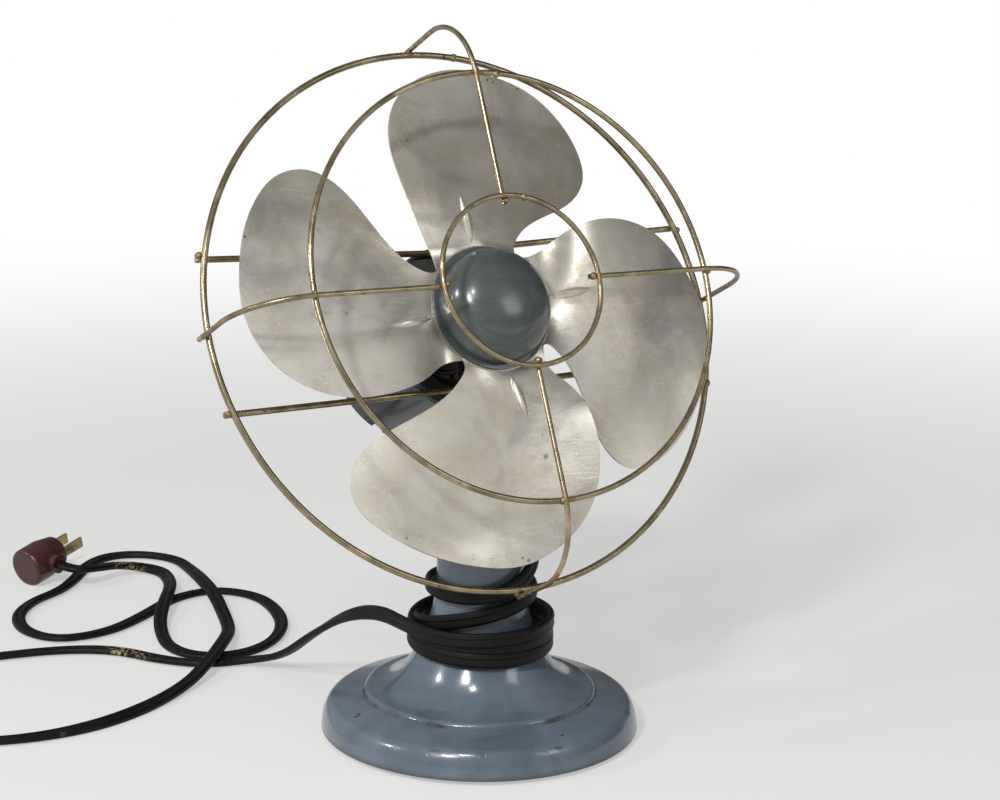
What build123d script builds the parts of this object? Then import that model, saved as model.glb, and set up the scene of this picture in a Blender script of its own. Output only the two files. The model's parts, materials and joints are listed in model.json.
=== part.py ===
"""Desk fan: cast base and neck, tilting motor head, pressed four-blade wheel and welded wire guard."""
import os
from math import cos, pi, radians, sin, sqrt, tan

from build123d import *

os.makedirs("parts", exist_ok=True)

# Driving dimensions, in millimetres and degrees.
# The fan faces -Y, the origin is on the floor under the middle of the base.

clearance = 0.3
running_clearance = 0.04
thin_gap = 0.15

# base and neck
base_radius = 83.7
shoulder_radius = 80.0
shoulder_height = 16.0
shoulder_round = 2.5
wall_foot_height = 2.4
plateau_radius = 61.2
plateau_height = 21.7
plateau_step = 2.8
base_wall = 3.2
flare_mid_radius = 34.5
flare_mid_height = 44.0
neck_radius = 23.2
neck_height = 100.0
stem_radius = 7.0
felt_thickness = 3.0
felt_inset = 7.0
bottom_plate_thickness = 1.2
plate_screw_circle = 63.5
plate_screw_count = 3
plate_screw_radius = 1.6
plate_screw_head = 1.3
plate_screw_length = 9.0
plate_pillar_radius = 3.6

# tilt hinge
rotor_height = 225.5
head_tilt = 28.5
hinge_drop = 86.0
hinge_setback = 46.7
tongue_thickness = 8.0
tongue_radius = 11.0
ear_thickness = 5.0
ear_radius = 12.0
yoke_flange_thickness = 5.0
friction_washer_thickness = 0.8
hinge_bolt_radius = 4.0
hinge_head_radius = 7.5
hinge_head_thickness = 4.5
hinge_bolt_tail = 3.0
yoke_nut_thickness = 6.0
stem_tail = 2.0
wing_boss_radius = 7.0
wing_boss_length = 8.0
wing_span = 34.0
wing_thickness = 2.6

# motor
motor_radius = 45.0
motor_wall = 2.6
cover_edge = 4.0
cover_face_station = -25.0
cover_rim_station = -37.0
barrel_end_station = -89.0
motor_end_station = -97.0
bearing_boss_radius = 12.5
bearing_boss_front = -11.0
shaft_radius = 4.0
bearing_radius = 8.0
bearing_length = 12.0
stator_front = -48.0
stator_length = 18.0
stator_depth = 22.75
air_gap = 0.5
coil_overhang = 6.0
slot_count = 8
case_screw_count = 4
case_screw_angle = -130.0
case_screw_inset = 6.4
case_screw_radius = 1.6
case_head_radius = 3.0
case_head_height = 2.4
case_boss_radius = 4.2
case_seat_station = -85.0
case_seat_length = 6.0
rear_flat_radius = 14.0
vent_count = 8
vent_width = 5.0
vent_inner_radius = 17.0
vent_inset = 12.5
window_count = 4
window_angle = 58.0
window_inner_radius = 16.5
window_inset = 11.0
window_corner = 5.0
grommet_turn = 25.0
grommet_station = -73.0
grommet_radius = 4.8
grommet_flange = 2.4
thrust_washer_thickness = 1.0
rotor_ring_height = 3.0
rivet_head = 0.9

# guard of welded wire
guard_lift = 3.5
rear_ring_radius = 145.0
rear_ring_wire = 3.4
rear_ring_station = -19.3
middle_ring_radius = 112.5
middle_ring_wire = 3.0
centre_ring_radius = 44.5
centre_ring_wire = 2.7
rib_wire = 2.7
rib_station = 41.9
rib_turn = -2.2
rib_inner_radius = 40.5
rib_bend_radius = 36.9
rib_end_station = -24.0
bar_wire = 3.3
bar_offset = 36.9
upper_bar_set = 4.0
lower_bar_set = 1.1
bar_set_radius = 80.0
bar_overhang = 3.5
weld_gap = 0.05
clip_width = 9.0
clip_thickness = 1.2
clip_reach = 10.0
clip_screw_offset = 6.5
clip_screw_radius = 1.5
clip_screw_length = 5.0

# blade wheel and hub
blade_turn = -11.2
blade_count = 4
blade_sheet = 1.0
wheel_disc_radius = 33.5
wheel_station = 7.9
hub_radius = 9.0
hub_flange_radius = 16.5
hub_flange_thickness = 2.4
hub_back = -8.0
rivet_circle = 12.6
rivet_radius = 1.6
spinner_radius = 30.0
spinner_flange_radius = 32.7
spinner_flange_thickness = 1.4
spinner_nose = 33.0
spinner_wall = 1.8
spinner_boss_radius = 7.0
shaft_thread_radius = 3.0
shaft_tip = 20.0
set_screw_radius = 2.0
emboss_inner = (33.5, 8.5)
emboss_outer = (58.5, 15.5)
emboss_radius = 2.6
# Blade stations: distance out along the blade, height of its face at the middle, slope and camber
# across the blade.
blade_stations = (
    (18.0, 7.6, 0.0, 0.0),
    (31.0, 7.5, 0.0, 0.0),
    (45.0, 7.7, 0.2, -0.0007),
    (60.0, 7.6, 0.23, -0.0011),
    (90.0, 5.4, 0.175, -0.00135),
    (120.0, 1.2, 0.10, -0.0016),
    (137.0, -1.9, 0.065, -0.0017),
)
blade_half_span = 80.0
# Blade outline: distance out along the blade and across it.
leading_edge = (
    (17.0, 29.4), (27.5, 31.8), (40.0, 41.2), (60.0, 51.2), (80.0, 54.6),
    (100.0, 51.0), (115.0, 41.5), (127.0, 26.0), (133.0, 9.0), (133.4, -10.0),
)
trailing_edge = (
    (133.4, -10.0), (128.0, -36.0), (118.0, -55.0), (104.0, -69.0), (88.0, -72.8), (74.0, -65.5),
    (62.0, -49.0), (48.0, -26.5), (38.5, -18.3), (31.5, -16.2), (28.5, -18.5),
)
clamp_washer_thickness = 1.2
clamp_washer_radius = 9.0

# cord and plug
cord_width = 8.0
cord_straight = 18.0
wrap_top = 84.0
wrap_waist = 64.0
wrap_bottom = 41.5
wrap_upper_thickness = 9.0
wrap_lower_radius = 41.5
plug_length = 27.0
plug_radius = 12.0
prong_length = 16.0
prong_root = 8.0
prong_width = 6.3
prong_thickness = 1.6
prong_spacing = 12.7

# The head plane: X across, Y up the head, Z forward along the rotor axis.
head = Plane(
    origin=(0, 0, rotor_height),
    x_dir=(1, 0, 0),
    z_dir=(0, -cos(radians(head_tilt)), sin(radians(head_tilt))),
)
# Half sections of what turns about the rotor axis: X is the radius, Y the station along the axis.
head_side = Plane(origin=head.origin, x_dir=head.x_dir, z_dir=-head.y_dir)
rotor_axis = Axis(head.origin, head.z_dir)
# Side view of the head: X forward along the rotor axis, Y up the head.
head_profile = Plane(origin=head.origin, x_dir=head.z_dir, z_dir=-head.x_dir)
hinge_point = head.from_local_coords(Vector(0, -hinge_drop, -hinge_setback))
hinge_plane = Plane(origin=hinge_point, x_dir=(0, 1, 0), z_dir=(1, 0, 0))
guard = Plane(origin=head.from_local_coords(Vector(0, guard_lift, 0)), x_dir=head.x_dir, z_dir=head.z_dir)
guard_side = Plane(origin=guard.origin, x_dir=guard.x_dir, z_dir=-guard.y_dir)
guard_axis = Axis(guard.origin, guard.z_dir)


def save(part, name):
    """Label a finished piece and write it under its node's name."""
    part.label = name
    export_step(part, f"parts/{name}.step")


def turned(plane, angle):
    """The same plane turned about its own normal."""
    across = plane.x_dir * cos(radians(angle)) + plane.y_dir * sin(radians(angle))
    return Plane(origin=plane.origin, x_dir=across, z_dir=plane.z_dir)


# Welded wires lie against each other: each row of wire is a wire's thickness from the next.
middle_ring_station = rib_station - (rib_wire + middle_ring_wire) / 2 - weld_gap
centre_ring_station = rib_station + (rib_wire + centre_ring_wire) / 2 + weld_gap
bar_station = rear_ring_station - (rear_ring_wire + bar_wire) / 2 - weld_gap
bar_seat_station = bar_station - bar_wire / 2 - weld_gap
felt_radius = base_radius - felt_inset
plate_radius = base_radius - base_wall - 4 * clearance
plate_top = felt_thickness + bottom_plate_thickness

# ---------------------------------------------------------------- base and neck

column_top = neck_height
flare_start = (plateau_radius - plateau_step, plateau_height + plateau_step)

with BuildPart() as base_shell:
    with BuildSketch(Plane.XZ):
        with BuildLine():
            Polyline((stem_radius, column_top), (neck_radius, column_top), (neck_radius, wrap_top + 4))
            Spline(
                (neck_radius, wrap_top + 4),
                (flare_mid_radius, flare_mid_height),
                flare_start,
                tangents=((0, -1), (1, -0.12)),
            )
            RadiusArc(flare_start, (plateau_radius, plateau_height), plateau_step)
            Line((plateau_radius, plateau_height), (shoulder_radius - shoulder_round, shoulder_height + shoulder_round / 2))
            Spline(
                (shoulder_radius - shoulder_round, shoulder_height + shoulder_round / 2),
                (shoulder_radius + shoulder_round / 3, shoulder_height - shoulder_round * 2 / 3),
                (base_radius, wall_foot_height),
                tangents=((1, -0.28), (0.08, -1)),
            )
            Polyline(
                (base_radius, wall_foot_height),
                (base_radius - base_wall, wall_foot_height),
                (shoulder_radius - base_wall, shoulder_height - base_wall),
                (plateau_radius - base_wall, plateau_height - base_wall),
                (flare_start[0] - base_wall, flare_start[1] - base_wall),
            )
            Spline(
                (flare_start[0] - base_wall, flare_start[1] - base_wall),
                (flare_mid_radius - base_wall, flare_mid_height - base_wall),
                (neck_radius - 2 * base_wall, wrap_waist),
                tangents=((-1, 0.15), (0, 1)),
            )
            Polyline(
                (neck_radius - 2 * base_wall, wrap_waist),
                (neck_radius - 2 * base_wall, column_top - 2 * base_wall),
                (stem_radius, column_top - 2 * base_wall),
                (stem_radius, column_top),
            )
        make_face()
    revolve(axis=Axis.Z)
    with BuildSketch(Plane.XY.offset(plate_top)):
        with PolarLocations(plate_screw_circle, plate_screw_count):
            Circle(plate_pillar_radius)
            Circle(plate_screw_radius + running_clearance, mode=Mode.SUBTRACT)
    extrude(amount=shoulder_height + base_wall / 2 - plate_top)
save(base_shell.part, "base_shell")

with BuildPart() as bottom_plate:
    with BuildSketch(Plane.XY.offset(felt_thickness)):
        Circle(plate_radius)
        with PolarLocations(plate_screw_circle, plate_screw_count):
            Circle(plate_screw_radius + clearance, mode=Mode.SUBTRACT)
    extrude(amount=bottom_plate_thickness)
save(bottom_plate.part, "bottom_plate")

with BuildPart() as base_felt:
    with BuildSketch():
        Circle(felt_radius)
        with PolarLocations(plate_screw_circle, plate_screw_count):
            Circle(2 * plate_screw_radius + clearance, mode=Mode.SUBTRACT)
    extrude(amount=felt_thickness)
save(base_felt.part, "base_felt")

with BuildPart() as plate_screws:
    with PolarLocations(plate_screw_circle, plate_screw_count):
        with Locations((0, 0, felt_thickness - plate_screw_head / 2)):
            Cylinder(2 * plate_screw_radius, plate_screw_head)
        with Locations((0, 0, felt_thickness)):
            Cylinder(plate_screw_radius, plate_screw_length, align=(Align.CENTER, Align.CENTER, Align.MIN))
save(plate_screws.part, "plate_screws")

# ---------------------------------------------------------------- yoke and hinge

hinge_height = hinge_point.Z
ear_inner = tongue_thickness / 2 + friction_washer_thickness + 2 * thin_gap
ear_outer = ear_inner + ear_thickness
yoke_top = column_top + yoke_flange_thickness
stem_bottom = column_top - 2 * base_wall - yoke_nut_thickness - stem_tail

with BuildPart() as tilt_yoke:
    with BuildSketch(Plane.XY.offset(column_top)):
        Circle(neck_radius - clearance)
    extrude(amount=yoke_flange_thickness)
    fillet(tilt_yoke.edges().group_by(Axis.Z)[-1], yoke_flange_thickness / 3)
    with BuildSketch(Plane.XY.offset(stem_bottom)):
        Circle(stem_radius - running_clearance)
    extrude(amount=column_top - stem_bottom)
    for side in (1, -1):
        with BuildSketch(Plane.YZ.offset(side * (ear_inner + ear_thickness / 2))):
            with BuildLine():
                Polyline(
                    (ear_radius, hinge_height),
                    (1.25 * ear_radius, yoke_top - yoke_flange_thickness / 2),
                    (-1.25 * ear_radius, yoke_top - yoke_flange_thickness / 2),
                    (-ear_radius, hinge_height),
                )
                ThreePointArc((-ear_radius, hinge_height), (0, hinge_height + ear_radius), (ear_radius, hinge_height))
            make_face()
            with Locations((0, hinge_height)):
                Circle(hinge_bolt_radius + running_clearance, mode=Mode.SUBTRACT)
        extrude(amount=ear_thickness / 2, both=True)
save(tilt_yoke.part, "tilt_yoke")

with BuildPart() as yoke_nut:
    with BuildSketch(Plane.XY.offset(column_top - 2 * base_wall - yoke_nut_thickness)):
        RegularPolygon(1.55 * stem_radius, 6)
        Circle(stem_radius, mode=Mode.SUBTRACT)
    extrude(amount=yoke_nut_thickness)
save(yoke_nut.part, "yoke_nut")

with BuildPart() as hinge_bolt:
    with BuildSketch(hinge_plane.offset(ear_outer)):
        RegularPolygon(hinge_head_radius, 6)
    extrude(amount=hinge_head_thickness)
    with BuildSketch(hinge_plane.offset(ear_outer)):
        Circle(hinge_bolt_radius)
    extrude(amount=-(2 * ear_outer + wing_boss_length + hinge_bolt_tail))
save(hinge_bolt.part, "hinge_bolt")

with BuildPart() as friction_washers:
    for side in (1, -1):
        with BuildSketch(hinge_plane.offset(side * (tongue_thickness / 2 + thin_gap))):
            Circle(ear_radius - 2 * clearance)
            Circle(hinge_bolt_radius + running_clearance, mode=Mode.SUBTRACT)
        extrude(amount=side * friction_washer_thickness)
save(friction_washers.part, "friction_washers")

with BuildPart() as wing_nut:
    with BuildSketch(hinge_plane.offset(-ear_outer - thin_gap)):
        Circle(wing_boss_radius)
    extrude(amount=-wing_boss_length, taper=6)
    with BuildSketch(Plane.XY.offset(hinge_height)):
        for side in (1, -1):
            with BuildLine():
                Spline(
                    (-ear_outer - wing_boss_length / 3, side * wing_boss_radius / 2),
                    (-ear_outer - wing_boss_length / 2, side * (wing_span / 2 - 4)),
                    (-ear_outer - wing_boss_length - 2, side * wing_span / 2),
                    (-ear_outer - wing_boss_length - 3, side * (wing_span / 2 - 5)),
                    (-ear_outer - wing_boss_length + 0.5, side * wing_boss_radius / 2),
                )
                Line(
                    (-ear_outer - wing_boss_length + 0.5, side * wing_boss_radius / 2),
                    (-ear_outer - wing_boss_length / 3, side * wing_boss_radius / 2),
                )
            make_face()
    extrude(amount=wing_thickness / 2, both=True)
    with BuildSketch(hinge_plane.offset(-ear_outer)):
        Circle(hinge_bolt_radius + running_clearance)
    extrude(amount=-2 * wing_boss_length, mode=Mode.SUBTRACT)
save(wing_nut.part, "wing_nut")

# ---------------------------------------------------------------- motor

cover_back = cover_face_station - motor_wall
inner_radius = motor_radius - motor_wall
cover_face_radius = motor_radius - cover_edge
case_screw_circle = motor_radius - case_screw_inset
vent_outer_radius = motor_radius - vent_inset
window_outer_radius = motor_radius - window_inset
stator_back = stator_front - stator_length
rear_pocket = motor_end_station + 1.8 * motor_wall
front_pocket = bearing_boss_front - motor_wall
pocket_radius = bearing_radius + running_clearance
grommet_angle = -90 + grommet_turn
grommet_direction = head.x_dir * cos(radians(grommet_angle)) + head.y_dir * sin(radians(grommet_angle))
grommet_plane = Plane(
    origin=head.from_local_coords(
        Vector(
            motor_radius * cos(radians(grommet_angle)),
            motor_radius * sin(radians(grommet_angle)),
            grommet_station,
        )
    ),
    x_dir=head.z_dir,
    z_dir=grommet_direction,
)


def screw_places():
    """The places of the case screws round the motor."""
    return PolarLocations(case_screw_circle, case_screw_count, start_angle=case_screw_angle)


with BuildPart() as motor_cavity:
    with BuildSketch(head_side):
        with BuildLine():
            Polyline(
                (0, cover_rim_station),
                (inner_radius, cover_rim_station),
                (inner_radius, barrel_end_station + motor_wall),
            )
            Spline(
                (inner_radius, barrel_end_station + motor_wall),
                (rear_flat_radius, motor_end_station + motor_wall),
                tangents=((-1, -0.6), (-1, 0)),
            )
            Polyline(
                (rear_flat_radius, motor_end_station + motor_wall),
                (bearing_boss_radius, motor_end_station + motor_wall),
                (bearing_boss_radius, rear_pocket + bearing_length),
                (pocket_radius, rear_pocket + bearing_length),
                (pocket_radius, rear_pocket),
                (0, rear_pocket),
                (0, cover_rim_station),
            )
        make_face()
    revolve(axis=rotor_axis)
    with BuildSketch(head.offset(case_seat_station + case_seat_length)):
        with screw_places():
            Circle(case_boss_radius + 1)
    extrude(amount=motor_end_station - case_seat_station - case_seat_length, mode=Mode.SUBTRACT)

with BuildPart() as motor_housing:
    with BuildSketch(head_side):
        with BuildLine():
            Polyline((0, cover_rim_station), (0, motor_end_station), (rear_flat_radius, motor_end_station))
            Spline(
                (rear_flat_radius, motor_end_station),
                (motor_radius, barrel_end_station),
                tangents=((1, 0), (1, 0.6)),
            )
            Polyline((motor_radius, barrel_end_station), (motor_radius, cover_rim_station), (0, cover_rim_station))
        make_face()
    revolve(axis=rotor_axis)
    with BuildSketch(head_profile):
        with BuildLine():
            Polyline(
                (tongue_radius - hinge_setback, -hinge_drop),
                (cover_rim_station - clearance, clearance * 4 - motor_radius),
                (barrel_end_station + 4, clearance * 4 - motor_radius),
                (-tongue_radius - hinge_setback, -hinge_drop),
            )
            ThreePointArc(
                (-tongue_radius - hinge_setback, -hinge_drop),
                (-hinge_setback, -hinge_drop - tongue_radius),
                (tongue_radius - hinge_setback, -hinge_drop),
            )
        make_face()
        with Locations((-hinge_setback, -hinge_drop)):
            Circle(hinge_bolt_radius + running_clearance, mode=Mode.SUBTRACT)
    extrude(amount=tongue_thickness / 2, both=True)
    add(motor_cavity.part, mode=Mode.SUBTRACT)
    with BuildSketch(head.offset(case_seat_station)):
        with screw_places():
            Circle(case_head_radius + clearance)
            Rectangle(
                2 * case_screw_inset, 2 * (case_head_radius + clearance), align=(Align.MIN, Align.CENTER)
            )
    extrude(amount=motor_end_station - case_seat_station, mode=Mode.SUBTRACT)
    with BuildSketch(head.offset(case_seat_station)):
        with screw_places():
            Circle(case_screw_radius + running_clearance)
    extrude(amount=case_seat_length, mode=Mode.SUBTRACT)
    with BuildSketch(head.offset(motor_end_station)):
        with PolarLocations((vent_inner_radius + vent_outer_radius) / 2, vent_count):
            SlotOverall(vent_outer_radius - vent_inner_radius, vent_width)
    extrude(amount=bearing_length, mode=Mode.SUBTRACT)
    with BuildSketch(grommet_plane):
        Circle(grommet_radius + running_clearance)
    extrude(amount=-2 * motor_wall, both=True, mode=Mode.SUBTRACT)
save(motor_housing.part, "motor_housing")

with BuildPart() as motor_front_cover:
    with BuildSketch(head_side):
        with BuildLine():
            Polyline(
                (shaft_radius + 1, front_pocket),
                (shaft_radius + 1, bearing_boss_front),
                (bearing_boss_radius - 1, bearing_boss_front),
                (bearing_boss_radius, bearing_boss_front - 1),
                (bearing_boss_radius, cover_face_station),
                (cover_face_radius, cover_face_station),
            )
            Spline(
                (cover_face_radius, cover_face_station),
                (motor_radius, cover_face_station - cover_edge),
                tangents=((1, 0), (0, -1)),
            )
            Polyline(
                (motor_radius, cover_face_station - cover_edge),
                (motor_radius, cover_rim_station),
                (inner_radius, cover_rim_station),
                (inner_radius, cover_back - cover_edge),
                (inner_radius - cover_edge, cover_back),
                (bearing_boss_radius, cover_back),
                (bearing_boss_radius, cover_back - motor_wall),
                (pocket_radius, cover_back - motor_wall),
                (pocket_radius, front_pocket),
                (shaft_radius + 1, front_pocket),
            )
        make_face()
    revolve(axis=rotor_axis)
    with BuildSketch(head.offset(cover_rim_station)):
        with screw_places():
            Circle(case_boss_radius)
    extrude(amount=cover_back - cover_rim_station)
    for side in (1, -1):
        with BuildSketch(head.offset(bar_seat_station)):
            with Locations((0, guard_lift + side * (bar_offset - clip_reach / 2))):
                Rectangle(clip_width + 2, clip_reach + bar_wire)
        extrude(amount=cover_face_station - bar_seat_station - 2 * motor_wall)
        with BuildSketch(head.offset(bar_seat_station)):
            with Locations((0, guard_lift + side * (bar_offset - clip_screw_offset))):
                Circle(clip_screw_radius + running_clearance)
        extrude(amount=-clip_screw_length - clearance, mode=Mode.SUBTRACT)
    with BuildSketch(head.offset(cover_rim_station)):
        with screw_places():
            Circle(case_screw_radius + running_clearance)
    extrude(amount=case_seat_length + 2 * clearance, mode=Mode.SUBTRACT)
    with BuildSketch(head.offset(cover_face_station)) as windows:
        with BuildLine():
            outer_arc = CenterArc((0, 0), window_outer_radius, 45 - window_angle / 2, window_angle)
            inner_arc = CenterArc((0, 0), window_inner_radius, 45 - window_angle / 2, window_angle)
            Line(outer_arc @ 0, inner_arc @ 0)
            Line(outer_arc @ 1, inner_arc @ 1)
        make_face()
        fillet(windows.vertices(), window_corner)
        with PolarLocations(0, window_count - 1, start_angle=90, angular_range=270):
            add(windows.sketch_local)
    extrude(amount=-2 * motor_wall, both=True, mode=Mode.SUBTRACT)
save(motor_front_cover.part, "motor_front_cover")

with BuildPart() as case_screws:
    with BuildSketch(head.offset(case_seat_station)):
        with screw_places():
            Circle(case_head_radius)
    extrude(amount=-case_head_height)
    fillet(case_screws.edges().group_by(rotor_axis)[0], case_head_height / 3)
    with BuildSketch(head.offset(case_seat_station - case_head_height)):
        with screw_places():
            Rectangle(2 * case_head_radius + 1, case_screw_radius / 2)
    extrude(amount=case_head_height / 3, mode=Mode.SUBTRACT)
    with BuildSketch(head.offset(case_seat_station)):
        with screw_places():
            Circle(case_screw_radius)
    extrude(amount=cover_rim_station + case_seat_length - case_seat_station)
save(case_screws.part, "case_screws")


def ring_about_rotor(outer, inner, start, length):
    """A plain ring about the rotor axis, from the start station forward."""
    with BuildPart() as ring:
        with BuildSketch(head.offset(start)):
            Circle(outer)
            if inner:
                Circle(inner, mode=Mode.SUBTRACT)
        extrude(amount=length)
    return ring.part


stator_radius = inner_radius - thin_gap
stator_bore = stator_radius - stator_depth
rotor_core_radius = stator_bore - air_gap
slot_inner = stator_bore + 4
slot_outer = stator_radius - 9
slot_width = 0.62 * 2 * pi * slot_inner / slot_count
bore_radius = shaft_radius + running_clearance


with BuildPart() as stator_core:
    with BuildSketch(head.offset(stator_back)):
        Circle(stator_radius)
        Circle(stator_bore, mode=Mode.SUBTRACT)
        with PolarLocations((slot_inner + slot_outer) / 2, slot_count):
            Rectangle(slot_outer - slot_inner, slot_width, mode=Mode.SUBTRACT)
        with PolarLocations(stator_bore, slot_count):
            Rectangle(2 * (slot_inner - stator_bore) + 1, slot_width / 5, mode=Mode.SUBTRACT)
        with screw_places():
            Circle(case_screw_radius + clearance, mode=Mode.SUBTRACT)
    extrude(amount=stator_length)
save(stator_core.part, "stator_core")

with BuildPart() as stator_coils:
    with BuildSketch(head.offset(stator_back - coil_overhang)):
        with PolarLocations((slot_inner + slot_outer) / 2, slot_count):
            Rectangle(slot_outer - slot_inner - 2 * thin_gap, slot_width - 2 * thin_gap)
    extrude(amount=stator_length + 2 * coil_overhang)
    for start in (stator_back - coil_overhang, stator_front + clearance):
        with BuildSketch(head.offset(start)):
            Circle(slot_outer)
            Circle(slot_inner, mode=Mode.SUBTRACT)
        extrude(amount=coil_overhang - clearance)
save(stator_coils.part, "stator_coils")

save(ring_about_rotor(bearing_radius, bore_radius, front_pocket - bearing_length, bearing_length), "front_bearing")
save(ring_about_rotor(bearing_radius, bore_radius, rear_pocket + clearance, bearing_length - clearance), "rear_bearing")

felt_length = front_pocket - bearing_length - cover_back + motor_wall
save(ring_about_rotor(bearing_radius, bore_radius, cover_back - motor_wall, felt_length), "oil_felt")

with BuildPart() as cord_grommet:
    with BuildSketch(grommet_plane.offset(2 * clearance)):
        Circle(1.4 * grommet_radius)
    extrude(amount=grommet_flange)
    fillet(cord_grommet.edges().group_by(Axis(grommet_plane.origin, grommet_plane.z_dir))[-1], grommet_flange / 3)
    with BuildSketch(grommet_plane.offset(2 * clearance)):
        Circle(grommet_radius)
    extrude(amount=-2 * motor_wall)
    with BuildSketch(grommet_plane.offset(-2 * motor_wall + 2 * clearance)):
        Circle(1.25 * grommet_radius)
    extrude(amount=-grommet_flange / 2)
save(cord_grommet.part, "cord_grommet")

# ---------------------------------------------------------------- rotor, hub and blades

wheel_back = wheel_station - blade_sheet
flange_back = wheel_back - hub_flange_thickness
washer_front = wheel_station + clamp_washer_thickness
shaft_back = rear_pocket + clearance

with BuildPart() as shaft:
    with BuildSketch(head.offset(shaft_back)):
        Circle(shaft_radius)
    extrude(amount=wheel_back - shaft_back)
    with BuildSketch(head.offset(shaft_back)):
        Circle(shaft_thread_radius)
    extrude(amount=shaft_tip - shaft_back)
    chamfer(shaft.edges().group_by(rotor_axis)[-1], 0.6)
save(shaft.part, "shaft")

with BuildPart() as rotor_core:
    with BuildSketch(head.offset(stator_back)):
        Circle(rotor_core_radius)
        Circle(bore_radius, mode=Mode.SUBTRACT)
    extrude(amount=stator_length)
    for start in (stator_back, stator_front):
        with BuildSketch(head.offset(start)):
            Circle(rotor_core_radius - 1.5)
            Circle(rotor_core_radius - 7, mode=Mode.SUBTRACT)
        extrude(amount=rotor_ring_height if start == stator_front else -rotor_ring_height)
save(rotor_core.part, "rotor_core")

with BuildPart() as thrust_washers:
    for start, length in (
        (bearing_boss_front + thin_gap, hub_back - bearing_boss_front - 2 * thin_gap),
        (rear_pocket + bearing_length + thin_gap, thrust_washer_thickness),
    ):
        with BuildSketch(head.offset(start)):
            Circle(bearing_radius - clearance)
            Circle(bore_radius, mode=Mode.SUBTRACT)
        extrude(amount=length)
save(thrust_washers.part, "thrust_washers")

with BuildPart() as blade_hub:
    with BuildSketch(head_side):
        with BuildLine():
            Polyline(
                (bore_radius, hub_back),
                (hub_radius - 1, hub_back),
                (hub_radius, hub_back + 1),
                (hub_radius, flange_back),
                (hub_flange_radius, flange_back),
                (hub_flange_radius, wheel_back),
                (bore_radius, wheel_back),
                close=True,
            )
        make_face()
    revolve(axis=rotor_axis)
    with BuildSketch(head.offset(wheel_back)):
        with PolarLocations(rivet_circle, blade_count, start_angle=45):
            Circle(rivet_radius + running_clearance)
    extrude(amount=-hub_flange_thickness, mode=Mode.SUBTRACT)
    with BuildSketch(head_side.offset(hub_radius)):
        with Locations((0, (hub_back + flange_back) / 2)):
            Circle(set_screw_radius + running_clearance)
    extrude(amount=-hub_radius, mode=Mode.SUBTRACT)
save(blade_hub.part, "blade_hub")

with BuildPart() as hub_set_screw:
    with BuildSketch(head_side.offset(hub_radius)):
        with Locations((0, (hub_back + flange_back) / 2)):
            Circle(set_screw_radius)
            RegularPolygon(set_screw_radius / 2, 6, mode=Mode.SUBTRACT)
    extrude(amount=bore_radius - hub_radius)
save(hub_set_screw.part, "hub_set_screw")

with BuildPart() as blade_rivets:
    for start, amount in ((wheel_station, rivet_head), (flange_back, -rivet_head)):
        with BuildSketch(head.offset(start)):
            with PolarLocations(rivet_circle, blade_count, start_angle=45):
                Circle(1.7 * rivet_radius)
        extrude(amount=amount, taper=25)
    with BuildSketch(head.offset(flange_back)):
        with PolarLocations(rivet_circle, blade_count, start_angle=45):
            Circle(rivet_radius)
    extrude(amount=wheel_station - flange_back)
save(blade_rivets.part, "blade_rivets")


def blade_height(across, middle, slope, camber):
    """Height of the blade's face at a distance across it."""
    return middle + slope * across + camber * across**2


with BuildPart() as petal:
    plane = turned(head, blade_turn)
    for out, middle, slope, camber in blade_stations:
        section = Plane(origin=plane.from_local_coords(Vector(out, 0, 0)), x_dir=plane.y_dir, z_dir=plane.x_dir)
        face = [
            (across, blade_height(across, middle, slope, camber)) for across in (-blade_half_span, 0, blade_half_span)
        ]
        back = [(across, height - blade_sheet) for across, height in face]
        with BuildSketch(section):
            with BuildLine():
                Spline(*face)
                Spline(*back)
                Line(face[0], back[0])
                Line(face[2], back[2])
            make_face()
    loft()
    with BuildSketch(plane.offset(-blade_half_span)):
        with BuildLine():
            Spline(*leading_edge, *trailing_edge[1:])
            Line(trailing_edge[-1], leading_edge[0])
        make_face()
    extrude(amount=2 * blade_half_span, mode=Mode.INTERSECT)
    # A bead pressed up across the blade's root, half a spindle lying on the blade's face.
    inner_end, outer_end, beside = (
        plane.from_local_coords(Vector(out, across, blade_height(across, *blade_stations[number][1:])))
        for out, across, number in ((*emboss_inner, 1), (*emboss_outer, 3), (emboss_inner[0], 2 * emboss_outer[1], 1))
    )
    bead = Plane(origin=inner_end, x_dir=outer_end - inner_end, z_dir=(outer_end - inner_end).cross(beside - inner_end))
    bead_length = (outer_end - inner_end).length
    with BuildPart(mode=Mode.PRIVATE) as spindle:
        with BuildSketch(bead):
            with BuildLine():
                ThreePointArc((0, 0), (bead_length / 2, emboss_radius), (bead_length, 0))
                Line((bead_length, 0), (0, 0))
            make_face()
        revolve(axis=Axis(bead.origin, bead.x_dir))
        with BuildSketch(bead):
            with Locations((bead_length / 2, 0)):
                Rectangle(2 * bead_length, 4 * emboss_radius)
        extrude(amount=-2 * emboss_radius, mode=Mode.SUBTRACT)
    add(spindle.part)

with BuildPart() as blade_wheel:
    with BuildSketch(head.offset(wheel_back)):
        Circle(wheel_disc_radius)
        Circle(shaft_thread_radius + running_clearance, mode=Mode.SUBTRACT)
        with PolarLocations(rivet_circle, blade_count, start_angle=45):
            Circle(rivet_radius + running_clearance, mode=Mode.SUBTRACT)
    extrude(amount=blade_sheet)
    for blade in range(blade_count):
        add(petal.part.rotate(rotor_axis, blade * 360 / blade_count))
save(blade_wheel.part, "blade_wheel")

with BuildPart() as clamp_washer:
    with BuildSketch(head.offset(wheel_station)):
        Circle(clamp_washer_radius)
        Circle(shaft_thread_radius + running_clearance, mode=Mode.SUBTRACT)
    extrude(amount=clamp_washer_thickness)
save(clamp_washer.part, "clamp_washer")

spinner_base = wheel_station + spinner_flange_thickness

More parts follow.
